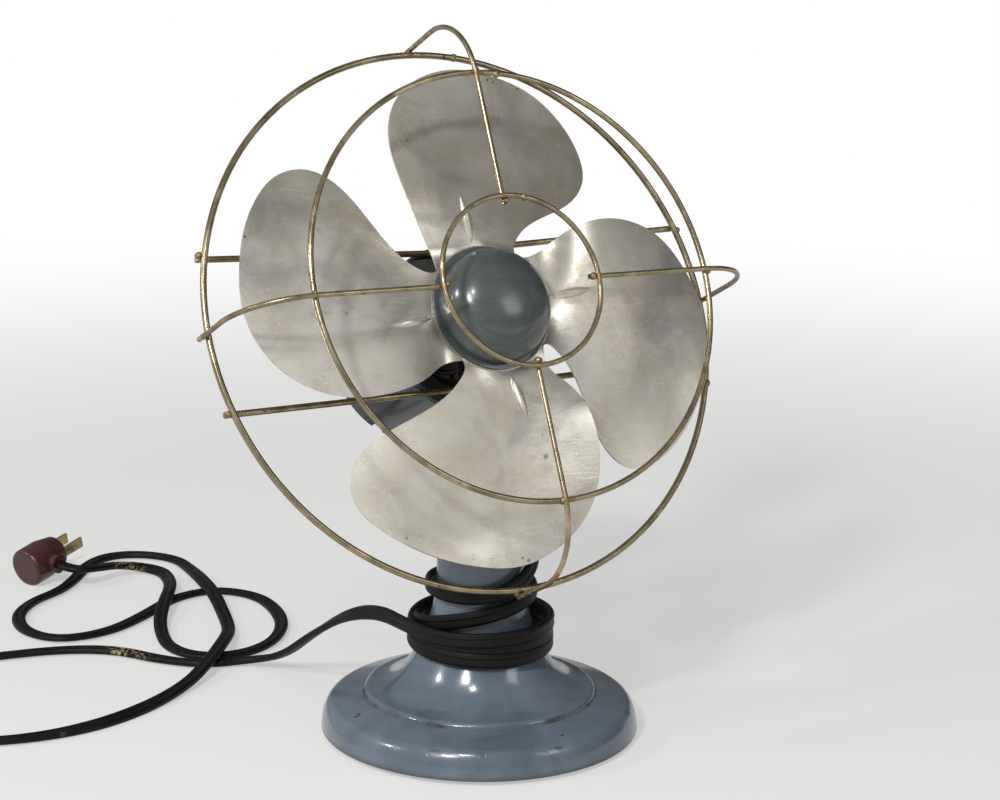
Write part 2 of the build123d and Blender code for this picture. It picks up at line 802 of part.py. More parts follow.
with BuildPart() as spinner_cap:
    with BuildSketch(head_side):
        with BuildLine():
            Polyline(
                (spinner_radius - spinner_wall, wheel_station),
                (spinner_flange_radius, wheel_station),
                (spinner_flange_radius, spinner_base),
                (spinner_radius, spinner_base),
            )
            Spline((spinner_radius, spinner_base), (0, spinner_nose), tangents=((0, 1), (-1, 0)))
            Line((0, spinner_nose), (0, shaft_tip + clearance))
            Polyline(
                (0, shaft_tip + clearance),
                (shaft_thread_radius + running_clearance, shaft_tip + clearance),
                (shaft_thread_radius + running_clearance, washer_front),
                (spinner_boss_radius, washer_front),
                (spinner_boss_radius, spinner_nose - 2 * spinner_wall),
            )
            Spline(
                (spinner_boss_radius, spinner_nose - 2 * spinner_wall),
                (spinner_radius - spinner_wall, wheel_station),
                tangents=((1, -0.25), (0, -1)),
            )
        make_face()
    revolve(axis=rotor_axis)
save(spinner_cap.part, "spinner_cap")

# ---------------------------------------------------------------- wire guard


def guard_ring(radius, wire, station):
    """A hoop of round wire about the guard's middle."""
    with BuildPart() as ring:
        with BuildSketch(guard_side):
            with Locations((radius, station)):
                Circle(wire / 2)
        revolve(axis=guard_axis)
    return ring.part


save(guard_ring(rear_ring_radius, rear_ring_wire, rear_ring_station), "guard_rear_ring")
save(guard_ring(middle_ring_radius, middle_ring_wire, middle_ring_station), "guard_middle_ring")
save(guard_ring(centre_ring_radius, centre_ring_wire, centre_ring_station), "guard_centre_ring")

rib_leg_radius = rear_ring_radius + (rear_ring_wire + rib_wire) / 2 + weld_gap

for number in range(4):
    turned_guard = turned(guard, rib_turn + 90 * number)
    rib_plane = Plane(origin=guard.origin, x_dir=turned_guard.x_dir, z_dir=-turned_guard.y_dir)
    with BuildPart() as guard_rib:
        with BuildLine(rib_plane) as rib_path:
            FilletPolyline(
                (rib_inner_radius, rib_station),
                (rib_leg_radius, rib_station),
                (rib_leg_radius, rib_end_station),
                radius=rib_bend_radius,
            )
        with BuildSketch(Plane(origin=rib_path.line @ 0, z_dir=rib_path.line % 0)):
            Circle(rib_wire / 2)
        sweep()
    save(guard_rib.part, f"guard_rib_{number + 1}")

# The bars were bent a little when they were welded: beyond its clip each rises by its set.
for name, height, bar_set in (
    ("guard_bar_upper", bar_offset, radians(upper_bar_set)),
    ("guard_bar_lower", -bar_offset, radians(lower_bar_set)),
):
    right_length = sqrt(rear_ring_radius**2 - bar_offset**2) + bar_overhang
    along = clip_width * cos(bar_set) + height * sin(bar_set)
    left_length = sqrt(along**2 - clip_width**2 - bar_offset**2 + rear_ring_radius**2) - along + bar_overhang
    with BuildPart() as guard_bar:
        with BuildLine(guard.offset(bar_station)) as bar_path:
            FilletPolyline(
                (-clip_width - left_length * cos(bar_set), height + left_length * sin(bar_set)),
                (-clip_width, height),
                (right_length, height),
                radius=bar_set_radius,
            )
        with BuildSketch(Plane(origin=bar_path.line @ 0, z_dir=bar_path.line % 0)):
            Circle(bar_wire / 2)
        sweep()
    save(guard_bar.part, name)

clip_bore = bar_wire / 2 + weld_gap
clip_back = clip_bore + clip_thickness

with BuildPart() as guard_clips:
    for side in (1, -1):
        bar_height = guard_lift + side * bar_offset
        with BuildSketch(head_profile):
            with Locations((bar_station, bar_height)):
                Circle(clip_back)
                Circle(clip_bore, mode=Mode.SUBTRACT)
                with Locations((-clip_back, 0)):
                    Rectangle(2 * clip_back, 2 * clip_back, mode=Mode.SUBTRACT)
                with Locations((-clip_bore / 4, side * (clip_bore + clip_thickness / 2))):
                    Rectangle(clip_bore / 2, clip_thickness)
                with Locations((-clip_bore / 2, -side * (clip_bore + clip_thickness / 2))):
                    Rectangle(clip_bore, clip_thickness)
                with Locations((clip_thickness / 2 - clip_bore, -side * (clip_bore + clip_reach) / 2)):
                    Rectangle(clip_thickness, clip_reach - clip_bore)
        extrude(amount=clip_width / 2, both=True)
        with BuildSketch(head.offset(bar_seat_station)):
            with Locations((0, guard_lift + side * (bar_offset - clip_screw_offset))):
                Circle(clip_screw_radius + running_clearance)
        extrude(amount=2 * clip_thickness, mode=Mode.SUBTRACT)
save(guard_clips.part, "guard_clips")

with BuildPart() as clip_screws:
    for side in (1, -1):
        screw_place = (0, guard_lift + side * (bar_offset - clip_screw_offset))
        with BuildSketch(head.offset(bar_seat_station + clip_thickness)):
            with Locations(screw_place):
                Circle(1.8 * clip_screw_radius)
        extrude(amount=clip_thickness, taper=15)
        with BuildSketch(head.offset(bar_seat_station + clip_thickness)):
            with Locations(screw_place):
                Circle(clip_screw_radius)
        extrude(amount=-clip_thickness - clip_screw_length)
save(clip_screws.part, "clip_screws")

# ---------------------------------------------------------------- cord and plug


def cord_tube(points):
    """Straight runs joined by arcs, each as large as its two runs allow."""
    corners = [Vector(*point) for point in points]
    radii = []
    for before, corner, after in zip(corners, corners[1:], corners[2:]):
        turn = (corner - before).get_angle(after - corner)
        shorter = min((corner - before).length, (after - corner).length)
        radii.append(0.45 * shorter / tan(radians(turn / 2)))
    with BuildPart() as tube:
        with BuildLine() as path:
            FilletPolyline(*corners, radius=radii)
        with BuildSketch(Plane(origin=path.line @ 0, z_dir=path.line % 0)):
            Circle(cord_width / 2)
        sweep()
    print("radii", [round(radius) for radius in radii])
    length = sum(edge.length for edge in path.edges())
    section = pi * cord_width**2 / 4
    print("length", round(length), "volume ratio", round(tube.part.volume / section / length, 4))
    return tube.part


with BuildPart() as cord_wrap:
    with BuildSketch(Plane.XZ):
        with BuildLine():
            Polyline(
                (0, wrap_bottom),
                (wrap_lower_radius - 6, wrap_bottom),
                (wrap_lower_radius, wrap_bottom + 6),
                (wrap_lower_radius, wrap_waist - 3),
                (neck_radius + wrap_upper_thickness, wrap_waist + 3),
                (neck_radius + wrap_upper_thickness, wrap_top),
                (0, wrap_top),
                close=True,
            )
        make_face()
        with BuildLine():
            Polyline((0, wrap_top + 4), (neck_radius + 2 * clearance, wrap_top + 4))
            Spline(
                (neck_radius + 2 * clearance, wrap_top + 4),
                (flare_mid_radius + 2 * clearance, flare_mid_height),
                (flare_start[0] + 2 * clearance, flare_start[1]),
                tangents=((0, -1), (1, -0.12)),
            )
            Polyline((flare_start[0] + 2 * clearance, flare_start[1]), (0, flare_start[1]), (0, wrap_top + 4))
        make_face(mode=Mode.SUBTRACT)
    revolve(axis=Axis.Z)
save(cord_wrap.part, "cord_wrap")

# The cord leaves the wrap at the left, comes down to the floor, turns back beyond the left, runs under and
# over itself in a loose knot and ends at the plug. Points are placed by hand along its middle.
drop_points = (
    tuple(grommet_plane.from_local_coords(Vector(0, 0, 2 * clearance + grommet_flange))),
    tuple(grommet_plane.from_local_coords(Vector(0, 0, 2 * clearance + grommet_flange + cord_straight))),
    (31.5, 6, 117),
    (27.6, -3.9, 101),
    (27.6, -3.9, wrap_top),
)
lead_points = (
    (-35, 10, 59),
    (-37, 40, 59),
    (-43, 68, 50),
    (-49, 98, 31),
    (-53, 126, 11),
    (-64, 147, 4.3),
    (-88, 151, 4.2),
    (-108, 172, 4.2),
    (-123, 199, 4.2),
    (-150, 214, 4.2),
    (-187, 221, 4.2),
    (-226, 225, 4.2),
    (-262, 204, 4.2),
    (-280, 168, 4.2),
    (-277, 128, 4.2),
    (-254, 96, 4.2),
    (-218, 80, 4.2),
    (-180, 80, 4.2),
    (-143, 95, 4.2),
    (-112, 118, 6),
    (-93, 136, 13),
    (-66, 172, 13),
    (-52, 198, 6),
    (-42, 228, 5),
    (-36, 254, 12.6),
    (-31, 284, 12.6),
    (-24, 312, 5),
    (-22, 338, 4.2),
    (-37, 358, 4.2),
    (-58, 364, 4.2),
    (-77, 352, 4.2),
    (-92, 332, 4.2),
    (-109, 314, 4.2),
    (-133, 302, 4.2),
    (-151, 281, 4.2),
    (-157, 253, 4.2),
    (-145, 230, 4.2),
    (-115, 229, 4.2),
    (-85, 246, 4.2),
    (-57, 268, 4.2),
    (-28, 272, 4.2),
    (-10, 250, 4.2),
    (-11, 220, 4.2),
    (-21, 190, 4.2),
    (-41, 166, 4.2),
    (-66, 157, 4.2),
    (-88, 166, 4.2),
    (-95, 188, 4.2),
    (-89, 212, 4.6),
    (-80, 234, 7),
    (-69, 252, 12.8),
    (-54, 276, 12.8),
    (-45, 299, 6),
    (-41, 318, 4.6),
    (-52, 331, 6),
    (-68, 329, 10.5),
    (-84, 320, 13.2),
    (-99, 319, 13.4),
    (-103.5, 329.8, 13.5),
)
save(cord_tube(drop_points), "cord_drop")
with BuildPart() as cord_lead:
    add(cord_tube(lead_points))
    add(cord_wrap.part, mode=Mode.SUBTRACT)
save(cord_lead.part, "cord_lead")

# The plug rests on the floor with its prongs turned up a little; the cord enters at its side.
plug_axis = Vector(0.9, 0.38, 0.2)
plug_middle = Vector(-110, 344, plug_radius + 1.5)
plug = Plane(origin=plug_middle, x_dir=Vector(-0.38, 0.9, 0), z_dir=plug_axis)
cord_end = Vector(*lead_points[-1])
entry_direction = (cord_end - Vector(*lead_points[-2])).normalized()
entry_plane = Plane(origin=cord_end, z_dir=entry_direction)

with BuildPart() as plug_body:
    with BuildSketch(plug.offset(-plug_length / 2)):
        Circle(plug_radius)
    extrude(amount=plug_length * 0.55)
    with BuildSketch(plug.offset(plug_length * 0.05)):
        Circle(plug_radius)
    with BuildSketch(plug.offset(plug_length / 2)):
        Circle(0.8 * plug_radius)
    loft()
    fillet(plug_body.edges().group_by(Axis(plug.origin, plug.z_dir))[0], 2.5)
    fillet(plug_body.edges().group_by(Axis(plug.origin, plug.z_dir))[-1], 1.5)
    with BuildSketch(entry_plane):
        Circle(0.7 * cord_width)
    extrude(amount=plug_radius)
    with BuildSketch(plug.offset(plug_length / 2)):
        with Locations((prong_spacing / 2, 0), (-prong_spacing / 2, 0)):
            Rectangle(prong_thickness + 2 * running_clearance, prong_width + 2 * running_clearance)
    extrude(amount=-prong_root, mode=Mode.SUBTRACT)
save(plug_body.part, "plug_body")

with BuildPart() as plug_prongs:
    with BuildSketch(plug.offset(plug_length / 2 - prong_root)):
        with Locations((prong_spacing / 2, 0), (-prong_spacing / 2, 0)):
            Rectangle(prong_thickness, prong_width)
    extrude(amount=prong_length + prong_root)
save(plug_prongs.part, "plug_prongs")
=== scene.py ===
import json
from math import radians

import bmesh
import bpy
import numpy as np
from mathutils import Matrix, Vector


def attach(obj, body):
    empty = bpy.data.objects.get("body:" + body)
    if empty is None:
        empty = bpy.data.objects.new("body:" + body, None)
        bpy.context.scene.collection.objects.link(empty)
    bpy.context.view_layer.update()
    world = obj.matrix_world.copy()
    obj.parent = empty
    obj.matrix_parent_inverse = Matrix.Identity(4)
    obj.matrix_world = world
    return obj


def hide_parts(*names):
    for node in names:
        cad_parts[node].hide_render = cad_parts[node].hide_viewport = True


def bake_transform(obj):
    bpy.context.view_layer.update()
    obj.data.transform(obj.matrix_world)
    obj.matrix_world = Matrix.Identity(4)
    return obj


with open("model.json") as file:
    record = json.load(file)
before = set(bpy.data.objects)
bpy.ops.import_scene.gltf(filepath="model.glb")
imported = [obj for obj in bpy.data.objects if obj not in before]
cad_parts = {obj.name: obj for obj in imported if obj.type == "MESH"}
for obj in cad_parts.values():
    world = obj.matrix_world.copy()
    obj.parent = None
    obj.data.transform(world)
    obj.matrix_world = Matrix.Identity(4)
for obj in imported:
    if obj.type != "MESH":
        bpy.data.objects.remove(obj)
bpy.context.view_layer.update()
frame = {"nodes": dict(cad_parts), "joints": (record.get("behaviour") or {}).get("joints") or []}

joints = {joint["name"]: joint for joint in frame["joints"]}
rotorPlace = np.array(joints["blade_spin"]["pos_m"], float)
rotorAxis = np.array(joints["blade_spin"]["axis"], float)
rotorAxis /= np.linalg.norm(rotorAxis)
acrossAxis = np.array((1.0, 0.0, 0.0))
upAxis = np.cross(rotorAxis, acrossAxis)  # up the head, square to the rotor axis
mm = 0.001


# shader nodes: each function puts nodes into a tree and gives back the socket that comes out

def put(tree, kind, inputs=None, **settings):
    # one node, its settings, and each input either linked or given a value
    made = tree.nodes.new("ShaderNode" + kind)
    for name, value in settings.items():
        setattr(made, name, value)
    for name, value in (inputs or {}).items():
        if isinstance(value, bpy.types.NodeSocket):
            tree.links.new(value, made.inputs[name])
        else:
            made.inputs[name].default_value = value
    return made


def calc(tree, operation, *values):
    return put(tree, "Math", dict(enumerate(values)), operation=operation).outputs[0]


def times(tree, first, second):
    return calc(tree, "MULTIPLY", first, second)


def most(tree, *values):
    # the largest of several values
    total = values[0]
    for value in values[1:]:
        total = calc(tree, "MAXIMUM", total, value)
    return total


def weighted(tree, values, weights):
    # the sum of several values, each times its weight
    total = None
    for value, weight in zip(values, weights):
        part = value if weight == 1 else times(tree, value, weight)
        total = part if total is None else calc(tree, "ADD", total, part)
    return total


def remap(tree, value, low, high, toLow=0.0, toHigh=1.0):
    # a smooth step from one value at low to another at high
    inputs = {0: value, 1: low, 2: high, 3: toLow, 4: toHigh}
    return put(tree, "MapRange", inputs, interpolation_type="SMOOTHSTEP").outputs[0]


def near(tree, value, middle, width):
    # 1 at the middle value, falling to 0 a width away
    away = calc(tree, "ABSOLUTE", calc(tree, "SUBTRACT", value, middle))
    return remap(tree, away, 0.0, width, 1, 0)


def mixColor(tree, factor, first, second):
    ends = [end if isinstance(end, bpy.types.NodeSocket) else (*end, 1) for end in (first, second)]
    return put(tree, "Mix", {0: factor, 6: ends[0], 7: ends[1]}, data_type="RGBA").outputs[2]


def tint(tree, color, mask, strength, stain):
    # the colour with a stain over it where the mask is 1
    return mixColor(tree, times(tree, mask, strength), color, stain)


def noise(tree, vector, scale, detail=4.0, roughness=0.55, distortion=0.0):
    inputs = {
        "Vector": vector, "Scale": scale, "Detail": detail, "Roughness": roughness, "Distortion": distortion,
    }
    return put(tree, "TexNoise", inputs).outputs["Fac"]


def splitPlace(tree, place):
    return put(tree, "SeparateXYZ", {0: place}).outputs


def fromAxis(tree, parts):
    # distance from the third axis of a place's three parts
    flat = put(tree, "CombineXYZ", {0: parts[0], 1: parts[1]}).outputs[0]
    return put(tree, "VectorMath", {0: flat}, operation="LENGTH").outputs["Value"]


def rays(tree, *kinds):
    # 1 for a ray of one of the kinds
    path = put(tree, "LightPath").outputs
    return most(tree, *(path[f"Is {kind} Ray"] for kind in kinds))


# camera, light and floor

studio = {
    "place": (-0.7176, -1.2153, 0.5413),
    "azimuth": 30.92,
    "elevation": 14.38,
    "roll": 0.75,
    "lens": 101.64,
    "sensor": 36,
    "farthest": 20,
    "worldLevel": 0.41,
    "worldDim": 0.08,
    "dimDirection": (0.95, 0.25, 0.1),
    "dimReach": (0.05, 0.85),
    "floorColor": (0.60, 0.592, 0.58),
    "floorRoughness": 0.9,
    "floorLift": 0.46,
    "floorReach": 14.0,
    "floorFade": (0.5, 1.4),
    "lamps": (
        # place, size, power
        ((-1.83, 0.46, 1.25), 0.20, 9),
        ((-1.42, -0.95, 1.45), 0.20, 27),
        ((-0.95, -1.00, 1.75), 0.20, 8),
        ((0.93, -1.70, 1.24), 0.60, 4.5),
    ),
    "aim": (0.0, 0.0, 0.2),
}


def addToScene(thing):
    bpy.context.scene.collection.objects.link(thing)
    return thing


def addCamera():
    data = bpy.data.cameras.new("camera")
    data.sensor_width = studio["sensor"]
    data.lens = studio["lens"]
    data.clip_end = studio["farthest"]
    camera = addToScene(bpy.data.objects.new("camera", data))
    turn = Matrix.Rotation(radians(-studio["azimuth"]), 4, "Z")
    nod = Matrix.Rotation(radians(90 - studio["elevation"]), 4, "X")
    roll = Matrix.Rotation(radians(studio["roll"]), 4, "Z")
    camera.matrix_world = Matrix.Translation(studio["place"]) @ turn @ nod @ roll
    bpy.context.scene.camera = camera


def addLamps():
    for number, (place, size, power) in enumerate(studio["lamps"]):
        data = bpy.data.lights.new(f"lamp{number}", "AREA")
        data.shape = "SQUARE"
        data.size = size
        data.energy = power
        lamp = addToScene(bpy.data.objects.new(f"lamp{number}", data))
        aim = Vector(studio["aim"]) - Vector(place)
        lamp.location = place
        lamp.rotation_euler = aim.to_track_quat("-Z", "Y").to_euler()


def addWorld():
    # an even pale room with one dim side; what the camera sees straight is white
    world = bpy.data.worlds.new("studio")
    bpy.context.scene.world = world
    world.use_nodes = True
    tree = world.node_tree
    background = tree.nodes["Background"]
    toward = np.array(studio["dimDirection"]) / np.linalg.norm(studio["dimDirection"])
    way = put(tree, "TexCoord").outputs["Generated"]
    facing = put(tree, "VectorMath", {0: way, 1: toward.tolist()}, operation="DOT_PRODUCT").outputs["Value"]
    room = remap(tree, facing, *studio["dimReach"], studio["worldLevel"], studio["worldDim"])
    level = put(tree, "Mix", {0: rays(tree, "Camera", "Transmission"), 2: room, 3: 1.0}).outputs[0]
    tree.links.new(level, background.inputs["Strength"])
    background.inputs["Color"].default_value = (1, 1, 1, 1)


def addFloor():
    # a wide pale floor: paint that takes the shadow, lifted towards white where it is seen and wholly
    # white farther out, so that it throws little light back up at the fan
    corners = studio["floorReach"] * np.array(((-1, -1, 0), (1, -1, 0), (1, 1, 0), (-1, 1, 0)), float)
    mesh = bpy.data.meshes.new("floor")
    mesh.from_pydata(corners.tolist(), [], [(0, 1, 2, 3)])
    floor = addToScene(bpy.data.objects.new("floor", mesh))
    material = bpy.data.materials.new("floorPaint")
    material.use_nodes = True
    tree = material.node_tree
    shader = tree.nodes["Principled BSDF"]
    shader.inputs["Base Color"].default_value = (*studio["floorColor"], 1)
    shader.inputs["Roughness"].default_value = studio["floorRoughness"]
    white = put(tree, "Emission", {"Color": (1, 1, 1, 1), "Strength": 1.0}).outputs[0]
    place = put(tree, "TexCoord").outputs["Object"]
    away = put(tree, "VectorMath", {0: place}, operation="LENGTH").outputs["Value"]
    fade = remap(tree, away, *studio["floorFade"], studio["floorLift"], 1)
    lift = times(tree, fade, rays(tree, "Camera", "Glossy", "Transmission"))
    both = put(tree, "MixShader", {0: lift, 1: shader.outputs[0], 2: white})
    tree.links.new(both.outputs[0], tree.nodes["Material Output"].inputs["Surface"])
    mesh.materials.append(material)


bpy.context.scene.view_settings.view_transform = "Standard"
addCamera()
addLamps()
addWorld()
addFloor()
print("studio set")


# effects that several finishes use, each a node group: a place, a scale and an amount go in, and one
# value comes out

effectShape = {
    "cloud": (5, 0.6, 0.4),  # detail, roughness and distortion of the noise
    "cloudReach": (0.3, 0.7),
    "lineLays": ((0.35, 0.05), (1.25, 0.04), (2.3, 0.07)),  # turn and stretch of each set of lines
    "lineTilt": (0.5, 1, 1.7),  # the turn's share about each axis
    "lineFineness": 5.0,
    "lineNoise": (2, 0.5),
    "lineWidth": 0.012,
    "lineBreaks": (0.5, 0.62),
    "breakScale": (0.6, 0.2),  # scale of the breaks, and how much each turn adds to it
    "speckSize": 1.2,
    "speckEdge": 0.06,
    "raggedScale": 3.0,
    "raggedDepth": 0.5,
}


def effectGroup(name, **amounts):
    # an empty node group with its sockets
    tree = bpy.data.node_groups.new(name, "ShaderNodeTree")
    tree.interface.new_socket("Vector", in_out="INPUT", socket_type="NodeSocketVector")
    for label, value in amounts.items():
        socket = tree.interface.new_socket(label, in_out="INPUT", socket_type="NodeSocketFloat")
        socket.default_value = value
    tree.interface.new_socket("Value", in_out="OUTPUT", socket_type="NodeSocketFloat")
    return tree, tree.nodes.new("NodeGroupInput").outputs, tree.nodes.new("NodeGroupOutput").inputs["Value"]


def makeClouds():
    # broad soft patches with smaller ones inside them, from 0 to 1
    tree, given, out = effectGroup("clouds", Scale=20.0)
    broad = noise(tree, given["Vector"], given["Scale"], *effectShape["cloud"])
    tree.links.new(remap(tree, broad, *effectShape["cloudReach"]), out)
    return tree


def makeScratches():
    # fine straight lines in three crossing directions, broken up so that each is short; Amount on a line
    tree, given, out = effectGroup("scratches", Scale=60.0, Amount=0.5)
    fine = times(tree, given["Scale"], effectShape["lineFineness"])
    least, more = effectShape["breakScale"]
    lines = []
    for turn, stretch in effectShape["lineLays"]:
        turned = tuple(turn * part for part in effectShape["lineTilt"])
        lay = {"Vector": given["Vector"], "Rotation": turned, "Scale": (stretch, 1, 1)}
        drawn = noise(tree, put(tree, "Mapping", lay).outputs[0], fine, *effectShape["lineNoise"])
        whole = near(tree, drawn, 0.5, effectShape["lineWidth"])
        gaps = noise(tree, given["Vector"], times(tree, given["Scale"], least + more * turn), 2)
        lines.append(times(tree, whole, remap(tree, gaps, *effectShape["lineBreaks"])))
    tree.links.new(times(tree, most(tree, *lines), given["Amount"]), out)
    return tree


def makeSpecks():
    # small chips and pits with ragged edges, 1 inside one; Amount raises how many there are
    tree, given, out = effectGroup("specks", Scale=90.0, Amount=0.3)
    fine = times(tree, given["Scale"], effectShape["raggedScale"])
    ragged = calc(tree, "SUBTRACT", noise(tree, given["Vector"], fine, 3), 0.5)
    inputs = {"Vector": given["Vector"], "Scale": given["Scale"], "Randomness": 1.0}
    cells = put(tree, "TexVoronoi", inputs, feature="F1").outputs
    away = weighted(tree, (cells["Distance"], ragged), (1, effectShape["raggedDepth"]))
    chance = put(tree, "SeparateColor", {0: cells["Color"]}).outputs[0]
    size = calc(tree, "MAXIMUM", calc(tree, "SUBTRACT", given["Amount"], chance), 0.0)
    inside = calc(tree, "SUBTRACT", times(tree, size, effectShape["speckSize"]), away)
    tree.links.new(remap(tree, inside, 0.0, effectShape["speckEdge"]), out)
    return tree


clouds, scratches, specks = makeClouds(), makeScratches(), makeSpecks()


def effect(tree, group, *values):
    # an effect in a material: its place, its scale and, for marks, its amount
    return put(tree, "Group", dict(enumerate(values)), node_tree=group).outputs["Value"]


def startMaterial(name, plain):
    # a Principled material, its plain values set on its own sockets, and its Object coordinates
    material = bpy.data.materials.new(name)
    material.use_nodes = True
    tree = material.node_tree
    shader = tree.nodes["Principled BSDF"]
    for label, value in plain.items():
        shader.inputs[label].default_value = value
    return material, tree, shader, put(tree, "TexCoord").outputs["Object"]


def finishMaterial(tree, shader, color, roughness, height, strength, distance):
    tree.links.new(color, shader.inputs["Base Color"])
    tree.links.new(roughness, shader.inputs["Roughness"])
    bump = put(tree, "Bump", {"Strength": strength, "Distance": distance, "Height": height})
    tree.links.new(bump.outputs[0], shader.inputs["Normal"])


def headPlace(tree, place, lift=0.0, spin=0.0):
    # Object coordinates turned into the head's own: across, up the head, and forward along the rotor axis;
    # spin then turns them about that axis
    turn = radians(-90) + np.arctan2(rotorAxis[2], -rotorAxis[1])
    spot = rotorPlace + lift * upAxis
    moved = (0.0, -float(upAxis @ spot), -float(rotorAxis @ spot))
    lay = {"Vector": place, "Rotation": (float(turn), 0, 0), "Location": moved}
    head = put(tree, "Mapping", lay).outputs[0]
    if not spin:
        return head
    return put(tree, "Mapping", {"Vector": head, "Rotation": (0, 0, spin)}).outputs[0]


# finishes: patches is the scale of the colour's clouds; marks have their scale and amount, a noise its
# scale and detail, an edge the two values between which it comes or goes, and a bump its strength and depth

enamelFinish = {
    "light": (0.114, 0.152, 0.192), "dark": (0.070, 0.096, 0.126), "chip": (0.030, 0.026, 0.022),
    # the head's tones: its own darker blue-grey paint, darkened well below the base's as painted shade for
    # the shade the motor sits in
    "headLightPaintedShade": (0.028, 0.039, 0.048), "headDarkPaintedShade": (0.016, 0.023, 0.029),
    # the dirt colour darkens the groove, and the same colour paints shade at the base's foot
    "rust": (0.16, 0.085, 0.04), "dirt": (0.028, 0.024, 0.018),
    "roughness": (0.17, 0.34), "roughest": 1.6,
    "plain": {"Coat Weight": 0.35, "Coat Roughness": 0.08, "IOR": 1.5},
    "patches": 26.0, "smallPatches": 150.0, "smallStrength": 0.22,
    "chips": (70.0, 0.16), "scratches": (22.0, 0.5), "scratchStrength": 0.7,
    "peel": (420.0, 2), "heights": (0.10, 0.25, -0.8), "bump": (0.25, 0.00035),
}
# the base's own wear and painted shade: the dirty groove, the rubbed rim and the foot, whose darkening is
# painted shade, each a place in metres and its reach
baseWearAndShade = {
    "groove": (0.0612, 0.0016), "grooveHeight": (0.0222, 0.004),
    # the foot: painted shade darkening the wall's lowest millimetres where the base meets the floor
    "foot": (0.0022, 0.0055), "footShadeStrength": 0.6,
    "dirt": (55.0, 4), "dirtEdge": (0.46, 0.6), "dirtLeast": 0.25,
    "rim": (0.0802, 0.0022), "rimChips": (120.0, 0.45), "rimStrength": 0.7,
}


def makeEnamel(name, light, dark, wear=None):
    # glossy baked enamel: soft colour patches, chips and hair scratches
    material, tree, shader, place = startMaterial(name, enamelFinish["plain"])
    light, dark = enamelFinish[light], enamelFinish[dark]
    patches = effect(tree, clouds, place, enamelFinish["patches"])
    small = effect(tree, clouds, place, enamelFinish["smallPatches"])
    color = tint(tree, mixColor(tree, patches, dark, light), small, enamelFinish["smallStrength"], light)
    chips = effect(tree, specks, place, *enamelFinish["chips"])
    hair = effect(tree, scratches, place, *enamelFinish["scratches"])
    if wear:
        parts = splitPlace(tree, place)
        away = fromAxis(tree, parts)
        groove = times(tree, near(tree, away, *wear["groove"]), near(tree, parts[2], *wear["grooveHeight"]))
        patchy = remap(tree, noise(tree, place, *wear["dirt"]), *wear["dirtEdge"], wear["dirtLeast"], 1)
        # painted shade: the foot darkened towards the floor, mixed in the dirt colour with the groove's real
        # dirt
        foot = times(tree, remap(tree, parts[2], *wear["foot"], 1, 0), wear["footShadeStrength"])
        color = mixColor(tree, most(tree, times(tree, groove, patchy), foot), color, enamelFinish["dirt"])
        rim = times(tree, near(tree, away, *wear["rim"]), effect(tree, specks, place, *wear["rimChips"]))
        chips = most(tree, chips, times(tree, rim, wear["rimStrength"]))
    color = tint(tree, color, hair, enamelFinish["scratchStrength"], enamelFinish["rust"])
    color = mixColor(tree, chips, color, enamelFinish["chip"])
    uneven = calc(tree, "ADD", patches, chips)
    rough = remap(tree, uneven, 0, enamelFinish["roughest"], *enamelFinish["roughness"])
    peel = noise(tree, place, *enamelFinish["peel"])
    height = weighted(tree, (peel, patches, chips), enamelFinish["heights"])
    finishMaterial(tree, shader, color, rough, height, *enamelFinish["bump"])
    return material


spinnerFinish = {
    "light": (0.068, 0.082, 0.077), "dark": (0.045, 0.056, 0.054), "roughness": (0.20, 0.32),
    "rubbed": (0.17, 0.19, 0.19),
    "rim": (0.03, 0.035, 0.04), "rimEdge": (0.0095, 0.0125), "rimStrength": 0.5,
    "plain": {"Coat Weight": 0.3, "Coat Roughness": 0.12, "IOR": 1.5},
    "patches": 38.0, "scratches": (40.0, 0.35),
    "grain": (260.0, 2), "grainHeight": 0.06, "bump": (0.35, 0.0006),
}


def makeSpinner():
    # smooth moulded cap with faint rub marks, darker where it meets the blades
    material, tree, shader, place = startMaterial("spinnerGloss", spinnerFinish["plain"])
    head = headPlace(tree, place)
    patches = effect(tree, clouds, place, spinnerFinish["patches"])
    color = mixColor(tree, patches, spinnerFinish["dark"], spinnerFinish["light"])
    rub = effect(tree, scratches, head, *spinnerFinish["scratches"])
    color = mixColor(tree, rub, color, spinnerFinish["rubbed"])
    rim = remap(tree, splitPlace(tree, head)[2], *spinnerFinish["rimEdge"], 1, 0)
    color = tint(tree, color, rim, spinnerFinish["rimStrength"], spinnerFinish["rim"])
    rough = remap(tree, patches, 0, 1, *spinnerFinish["roughness"])
    height = times(tree, noise(tree, place, *spinnerFinish["grain"]), spinnerFinish["grainHeight"])
    finishMaterial(tree, shader, color, rough, height, *spinnerFinish["bump"])
    return material


